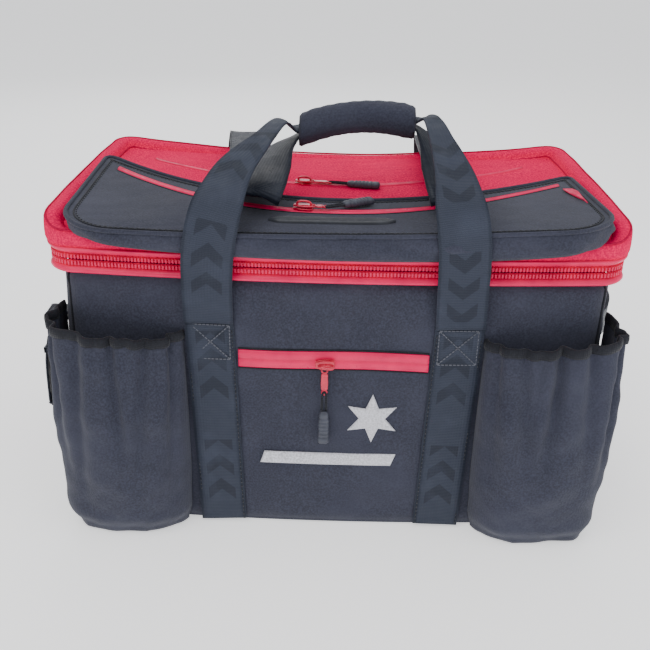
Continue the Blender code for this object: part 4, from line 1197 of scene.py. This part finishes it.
def make_sliders():
    turn = math.radians(38.0)
    for name, x, y_at, sweep, rise, z, sizes in (
            ("lid_pocket", -0.028, pocket_zip_y, POCKET_ZIP_SWEEP, POCKET_RISE, 0.2837,
             (0.012, 0.012, 0.028, turn)),
            ("lid_rear", -0.032, rear_zip_y, REAR_ZIP_SWEEP, 0.0, 0.2731, (0.018, 0.014, 0.030))):
        axes = curve_frame(x, sweep, rise)
        origin = Vector((x, y_at(x), z))
        hinge = origin + axes[0] * 0.0090 + axes[2] * 0.0036
        make_slider(name, axes, origin, hinge, axes, *sizes)
    down = (Vector((0, 0, -1)), Vector((1, 0, 0)), Vector((0, -1, 0)))
    across = (Vector((1, 0, 0)), Vector((0, 0, 1)), Vector((0, -1, 0)))
    make_slider("front_pocket", across, (-0.007, front_y(0.0, None, 0.0030), FRONT_ZIP_Z - 0.002),
                (-0.007, front_y(0.0, None, 0.0066), FRONT_ZIP_Z - 0.0075), down, 0.022, 0.016, 0.032)
    face = ZIP["half_x"] + ZIP["end"] + 0.0019
    for name, sign in (("main_front", -1), ("main_back", 1)):
        along = (Vector((0, -sign, 0)), Vector((0, 0, sign)), Vector((1, 0, 0)))
        hang = (Vector((0, 0, -1)), Vector((0, 1, 0)), Vector((1, 0, 0)))
        make_slider(name, along, (face, sign * 0.012, 0.2504), (face + 0.0042, sign * 0.012, 0.2445), hang,
                    0.014, 0.006, 0.020)


# ---------------------------------------------------------------- front zip and embroidery
def make_front_zip():
    stations = [-0.0785 + 0.157 * i / 60 for i in range(61)]
    rows = []
    for across, lift in ((-1.0, 0.0), (-0.96, 0.0010), (-0.55, 0.0014), (-0.14, 0.0019), (0.0, 0.0008),
                         (0.14, 0.0019), (0.55, 0.0014), (0.96, 0.0010), (1.0, 0.0)):
        row = []
        for x in stations:
            z = FRONT_ZIP_Z + across * 0.0080 + 0.0011 * math.sin(x * 34.0 + 0.6) - x * 0.012
            row.append(Vector((x, front_y(x, z, 0.0004 + lift), z)))
        rows.append(row)
    obj = thicken(grid("front_coated_zip", rows, MATERIALS["tape"]), 0.0008)
    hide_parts("front_zip_tape")
    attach(obj, "bag_body")
    for name, across in (("lower", -1.12), ("upper", 1.12)):
        line = []
        for x in stations:
            z = FRONT_ZIP_Z + across * 0.0080 + 0.0011 * math.sin(x * 34.0 + 0.6) - x * 0.012
            line.append(Vector((x, front_y(x, z, 0.0004), z)))
        edge = tube(f"front_zip_{name}_edge", line, 0.0007, MATERIALS["black"], sides=6)
        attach(edge, "bag_body")


def crowned(name, ring_at, node,
            levels=((1.0, 0.0), (0.99, 0.0008), (0.90, 0.0014), (0.6, 0.0017), (0.3, 0.0018))):
    """A raised satin-stitched shape: ring_at(share) gives its outline shrunk to that share."""
    rows = []
    for share, lift in levels:
        rows.append([Vector((x, front_y(x, z, 0.0002 + lift), z)) for x, z in ring_at(share)])
    obj = grid(name, rows, MATERIALS["satin"], wrap=True, caps=(-1,))
    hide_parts(node)
    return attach(obj, "bag_body")


def make_embroidery():
    cx, cz = 0.034, 0.114

    def star(share):
        tips = [(0.0240 if i % 2 == 0 else 0.0112) for i in range(12)]
        points = [Vector((r * math.cos(math.radians(90 + 30 * i)),
                          r * math.sin(math.radians(90 + 30 * i)), 0))
                  for i, r in enumerate(tips)]
        return [(cx + p.x * share, cz + p.y * share) for p in resample(points, 144, closed=True)]

    def bar(share):
        corners = [Vector(p) for p in ((-0.059, -0.006, 0), (0.055, -0.006, 0), (0.059, 0.006, 0),
                                       (-0.055, 0.006, 0))]
        line = resample(corners, 160, closed=True)
        return [(-0.003 + p.x * (1.0 - (1.0 - share) * 0.10), 0.072 + p.y * share) for p in line]

    crowned("satin_star", star, "badge_star")
    crowned("satin_bar", bar, "badge_bar")


# ---------------------------------------------------------------- carry handles and grip
def grip_centre(x):
    s = (x - 0.015) / 0.049
    return Vector((x, -0.0200, 0.3423 - 0.0082 * s * s + 0.0044 * s))


FRONT_LEFT = [(-0.1016, -0.1450, 0.2010), (-0.1010, -0.1500, 0.2320), (-0.0985, -0.1582, 0.2620),
              (-0.0945, -0.1592, 0.2860), (-0.0890, -0.1510, 0.3060), (-0.0800, -0.1220, 0.3230),
              (-0.0620, -0.0850, 0.3370), (-0.0500, -0.0480, 0.3430)]
FRONT_RIGHT = [(0.1016, -0.1450, 0.2010), (0.1000, -0.1500, 0.2320), (0.0980, -0.1582, 0.2620),
               (0.0955, -0.1592, 0.2860), (0.0920, -0.1510, 0.3060), (0.0890, -0.1220, 0.3230),
               (0.0815, -0.0850, 0.3400), (0.0765, -0.0480, 0.3480)]
REAR_LEFT = [(-0.1016, 0.1412, 0.2380), (-0.1000, 0.1450, 0.2640), (-0.0980, 0.1450, 0.2800),
             (-0.0950, 0.1350, 0.2905), (-0.0900, 0.0900, 0.2930), (-0.0820, 0.0200, 0.2955),
             (-0.0740, -0.0500, 0.2945), (-0.0690, -0.0950, 0.2945), (-0.0650, -0.1100, 0.2995),
             (-0.0610, -0.1000, 0.3065), (-0.0570, -0.0700, 0.3120), (-0.0510, -0.0400, 0.3180)]
REAR_RIGHT = [(0.1016, 0.1412, 0.2380), (0.1010, 0.1450, 0.2640), (0.1000, 0.1450, 0.2800),
              (0.0990, 0.1350, 0.2905), (0.0980, 0.0900, 0.2930), (0.0970, 0.0200, 0.2955),
              (0.0960, -0.0500, 0.2945), (0.0950, -0.0950, 0.2945), (0.0930, -0.1100, 0.2995),
              (0.0900, -0.1000, 0.3065), (0.0860, -0.0700, 0.3140), (0.0800, -0.0400, 0.3240)]


def make_handle(name, left, right, lift, body, material, gathered):
    """Webbing from sewn end to sewn end through the grip; gathered lists its narrowing widths."""
    inside = [grip_centre(x) + Vector((0, 0, lift)) for x in (-0.039, -0.025, 0.000, 0.030, 0.055, 0.069)]
    route = [Vector(p) for p in left] + inside + [Vector(p) for p in reversed(right)]
    rightwards, forwards = Vector((1, 0, 0)), Vector((0, -1, 0))
    aims = [rightwards] * (len(left) - 1) + [(rightwards + forwards).normalized()] + [forwards] * len(inside)
    aims += [(forwards - rightwards).normalized()] + [-rightwards] * (len(right) - 1)
    full = [0.040] * (len(left) - len(gathered))
    widths = full + list(gathered) + [0.0155] * len(inside) + list(reversed(gathered)) + full
    obj = strap(name, route, widths, aims, MATERIALS[material], columns=9, steps=7, start=0.202)
    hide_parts(body + "_webbing")
    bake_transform(obj)
    return obj


def make_handles():
    make_handle("front_carry_webbing", FRONT_LEFT, FRONT_RIGHT, 0.0040, "front_handle",
                "webbing", (0.0385, 0.0305, 0.0190, 0.0150))
    make_handle("rear_carry_webbing", REAR_LEFT, REAR_RIGHT, -0.0040, "rear_handle",
                "webbing_plain", (0.036, 0.026))


def make_grip():
    """Padded wrap closed along its lower front, gathered a little round the webbing."""
    rows = []
    count = 44
    for i in range(count + 1):
        t = i / count
        x = -0.0350 + 0.1000 * t
        end = min(t, 1.0 - t)
        waist = 0.93 + 0.07 * abs(2 * t - 1) ** 2
        lip = 1.0 - 0.16 * (1.0 - ramp(end, 0.0, 0.035))
        centre = grip_centre(x)
        row = []
        for k in range(32):
            a = 2 * math.pi * k / 32
            crease = 0.0005 * math.sin(5 * a + 26 * t) * math.sin(31 * t + a) + 0.0009 * math.exp(
                -((a - 4.15) / 0.10) ** 2)
            zip_shadow = -0.0010 * math.exp(-((end - 0.055) / 0.012) ** 2)
            radius = waist * lip
            row.append(Vector((x, centre.y + (0.0136 * radius + crease + zip_shadow) * math.cos(a),
                               centre.z + (0.0148 * radius + crease + zip_shadow) * math.sin(a))))
        rows.append(row)
    for shrink in (0.72, 0.62):
        rows.insert(0, [grip_centre(-0.0335).lerp(p, shrink) for p in rows[1 if shrink == 0.72 else 0]])
    tail = [grip_centre(0.0635).lerp(p, 0.72) for p in rows[-1]]
    rows.append(tail)
    wrap = grid("padded_grip_wrap", rows, MATERIALS["charcoal"], wrap=True)
    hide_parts("grip_wrap")
    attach(wrap, "rear_handle")


# ---------------------------------------------------------------- fittings on the two ends
RING_BAR = Vector((-0.2480, -0.090, 0.1815))


def turn_line(cx, cz, radius, start, stop, steps, y):
    return [Vector((cx + radius * math.cos(math.radians(start + (stop - start) * i / steps)), y,
                    cz + radius * math.sin(math.radians(start + (stop - start) * i / steps))))
            for i in range(steps + 1)]


def make_left_fittings():
    face = -0.2262
    tab = [Vector((face, RING_BAR.y, RING_BAR.z + 0.0030))] + turn_line(RING_BAR.x, RING_BAR.z,
                                                                        0.0030, 90, 270, 8,
                                                                       RING_BAR.y)
    tab.append(Vector((face, RING_BAR.y, RING_BAR.z - 0.0030)))
    obj = strap("left_ring_webbing_tab", tab, [0.018] * len(tab), [(0, 1, 0)] * len(tab),
                MATERIALS["webbing_plain"], steps=3)
    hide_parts("left_ring_tab")
    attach(obj, "bag_body")
    patch = [Vector((face - 0.0004, RING_BAR.y, RING_BAR.z + d)) for d in (0.016, 0.008, 0.0, -0.008, -0.016)]
    anchor = strap("left_ring_anchor_patch", patch, [0.024] * 5, [(0, 1, 0)] * 5, MATERIALS["webbing_plain"])
    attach(anchor, "bag_body")

    low = RING_BAR.z - 0.021
    path = []
    for cy, cz, start in ((0.008, RING_BAR.z - 0.004, 0), (-0.008, RING_BAR.z - 0.004, 90),
                          (-0.008, low + 0.004, 180), (0.008, low + 0.004, 270)):
        for i in range(7):
            a = math.radians(start + 15 * i)
            path.append(Vector((RING_BAR.x, RING_BAR.y + cy + 0.004 * math.cos(a), cz + 0.004 * math.sin(a))))
    wire = tube("left_red_ring", path, 0.0018, MATERIALS["red_metal"], closed=True, sides=12)
    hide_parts("left_ring")
    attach(wire, "left_ring")

    drop = 0.064
    top = turn_line(RING_BAR.x, low, 0.0032, 160, 20, 8, RING_BAR.y)
    bottom = turn_line(RING_BAR.x - 0.003, low - drop, 0.0068, 360, 180, 10, RING_BAR.y)
    front = top + [Vector((RING_BAR.x + 0.0030, RING_BAR.y, low - 0.022))] + bottom
    front += [Vector((RING_BAR.x - 0.0072, RING_BAR.y, low - 0.022)), top[0]]
    loop = strap("left_hanging_webbing", front, [0.0185] * len(front), [(0, 1, 0)] * len(front),
                 MATERIALS["webbing_plain"], steps=3)
    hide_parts("left_hanging_loop")
    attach(loop, "left_ring")
    rows = [[Vector((RING_BAR.x + x, RING_BAR.y + y, low + z)) for y in (-0.0098, -0.004, 0.004, 0.0098)]
            for x, z in ((-0.0082, -0.0100), (-0.0082, -0.0150), (-0.0060, -0.0152), (0.0046, -0.0152),
                         (0.0050, -0.0150), (0.0050, -0.0100), (0.0046, -0.0098), (-0.0060, -0.0098),
                         (-0.0082, -0.0100))]
    sleeve = grid("left_loop_stitched_band", rows, MATERIALS["thread_grey"])
    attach(sleeve, "left_ring")


def make_right_fittings():
    half, face = 0.070, 0.2262
    route = [Vector((face + 0.0005, -half - 0.020, 0.1705)), Vector((face + 0.0010, -half - 0.006, 0.1705))]
    for i in range(13):
        s = -1 + i / 6
        reach = 0.0300 * max(0.0, 1 - s * s) ** 0.6
        route.append(Vector((face + 0.0018 + reach, s * half, 0.1705)))
    route += [Vector((p.x, -p.y, p.z)) for p in (route[1], route[0])]
    route = [Vector((p.x + (bulge(0.2255, p.y, 0.17) if abs(p.y) > 0.062 else 0.0), p.y, p.z)) for p in route]
    obj = strap("right_end_grab_webbing", route, [0.025] * len(route), [(0, 0, 1)] * len(route),
                MATERIALS["webbing_plain"], thick=0.0030, steps=4)
    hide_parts("right_grab_handle")
    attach(obj, "bag_body")
    for side, sign in (("front", -1), ("rear", 1)):
        for z in (0.1605, 0.1805):
            line = [Vector((face + 0.0035 + bulge(0.2255, 0.078, 0.17), sign * (0.074 + 0.014 * i / 8), z))
                    for i in range(9)]
            stitches(f"grab_webbing_{side}_{'lower' if z < 0.17 else 'upper'}_stitches", line,
                     MATERIALS["thread_grey"], "bag_body", normal=(1, 0, 0))


# ---------------------------------------------------------------- everything
make_stage()
make_body()
make_lining()
make_pouch(-1)
make_pouch(1)
make_sewn_straps()
make_main_zip()
lid_tree = make_lid()
make_grab_strip(make_lid_pocket(lid_tree))
make_sliders()
make_front_zip()
make_embroidery()
make_handles()
make_grip()
make_left_fittings()
make_right_fittings()
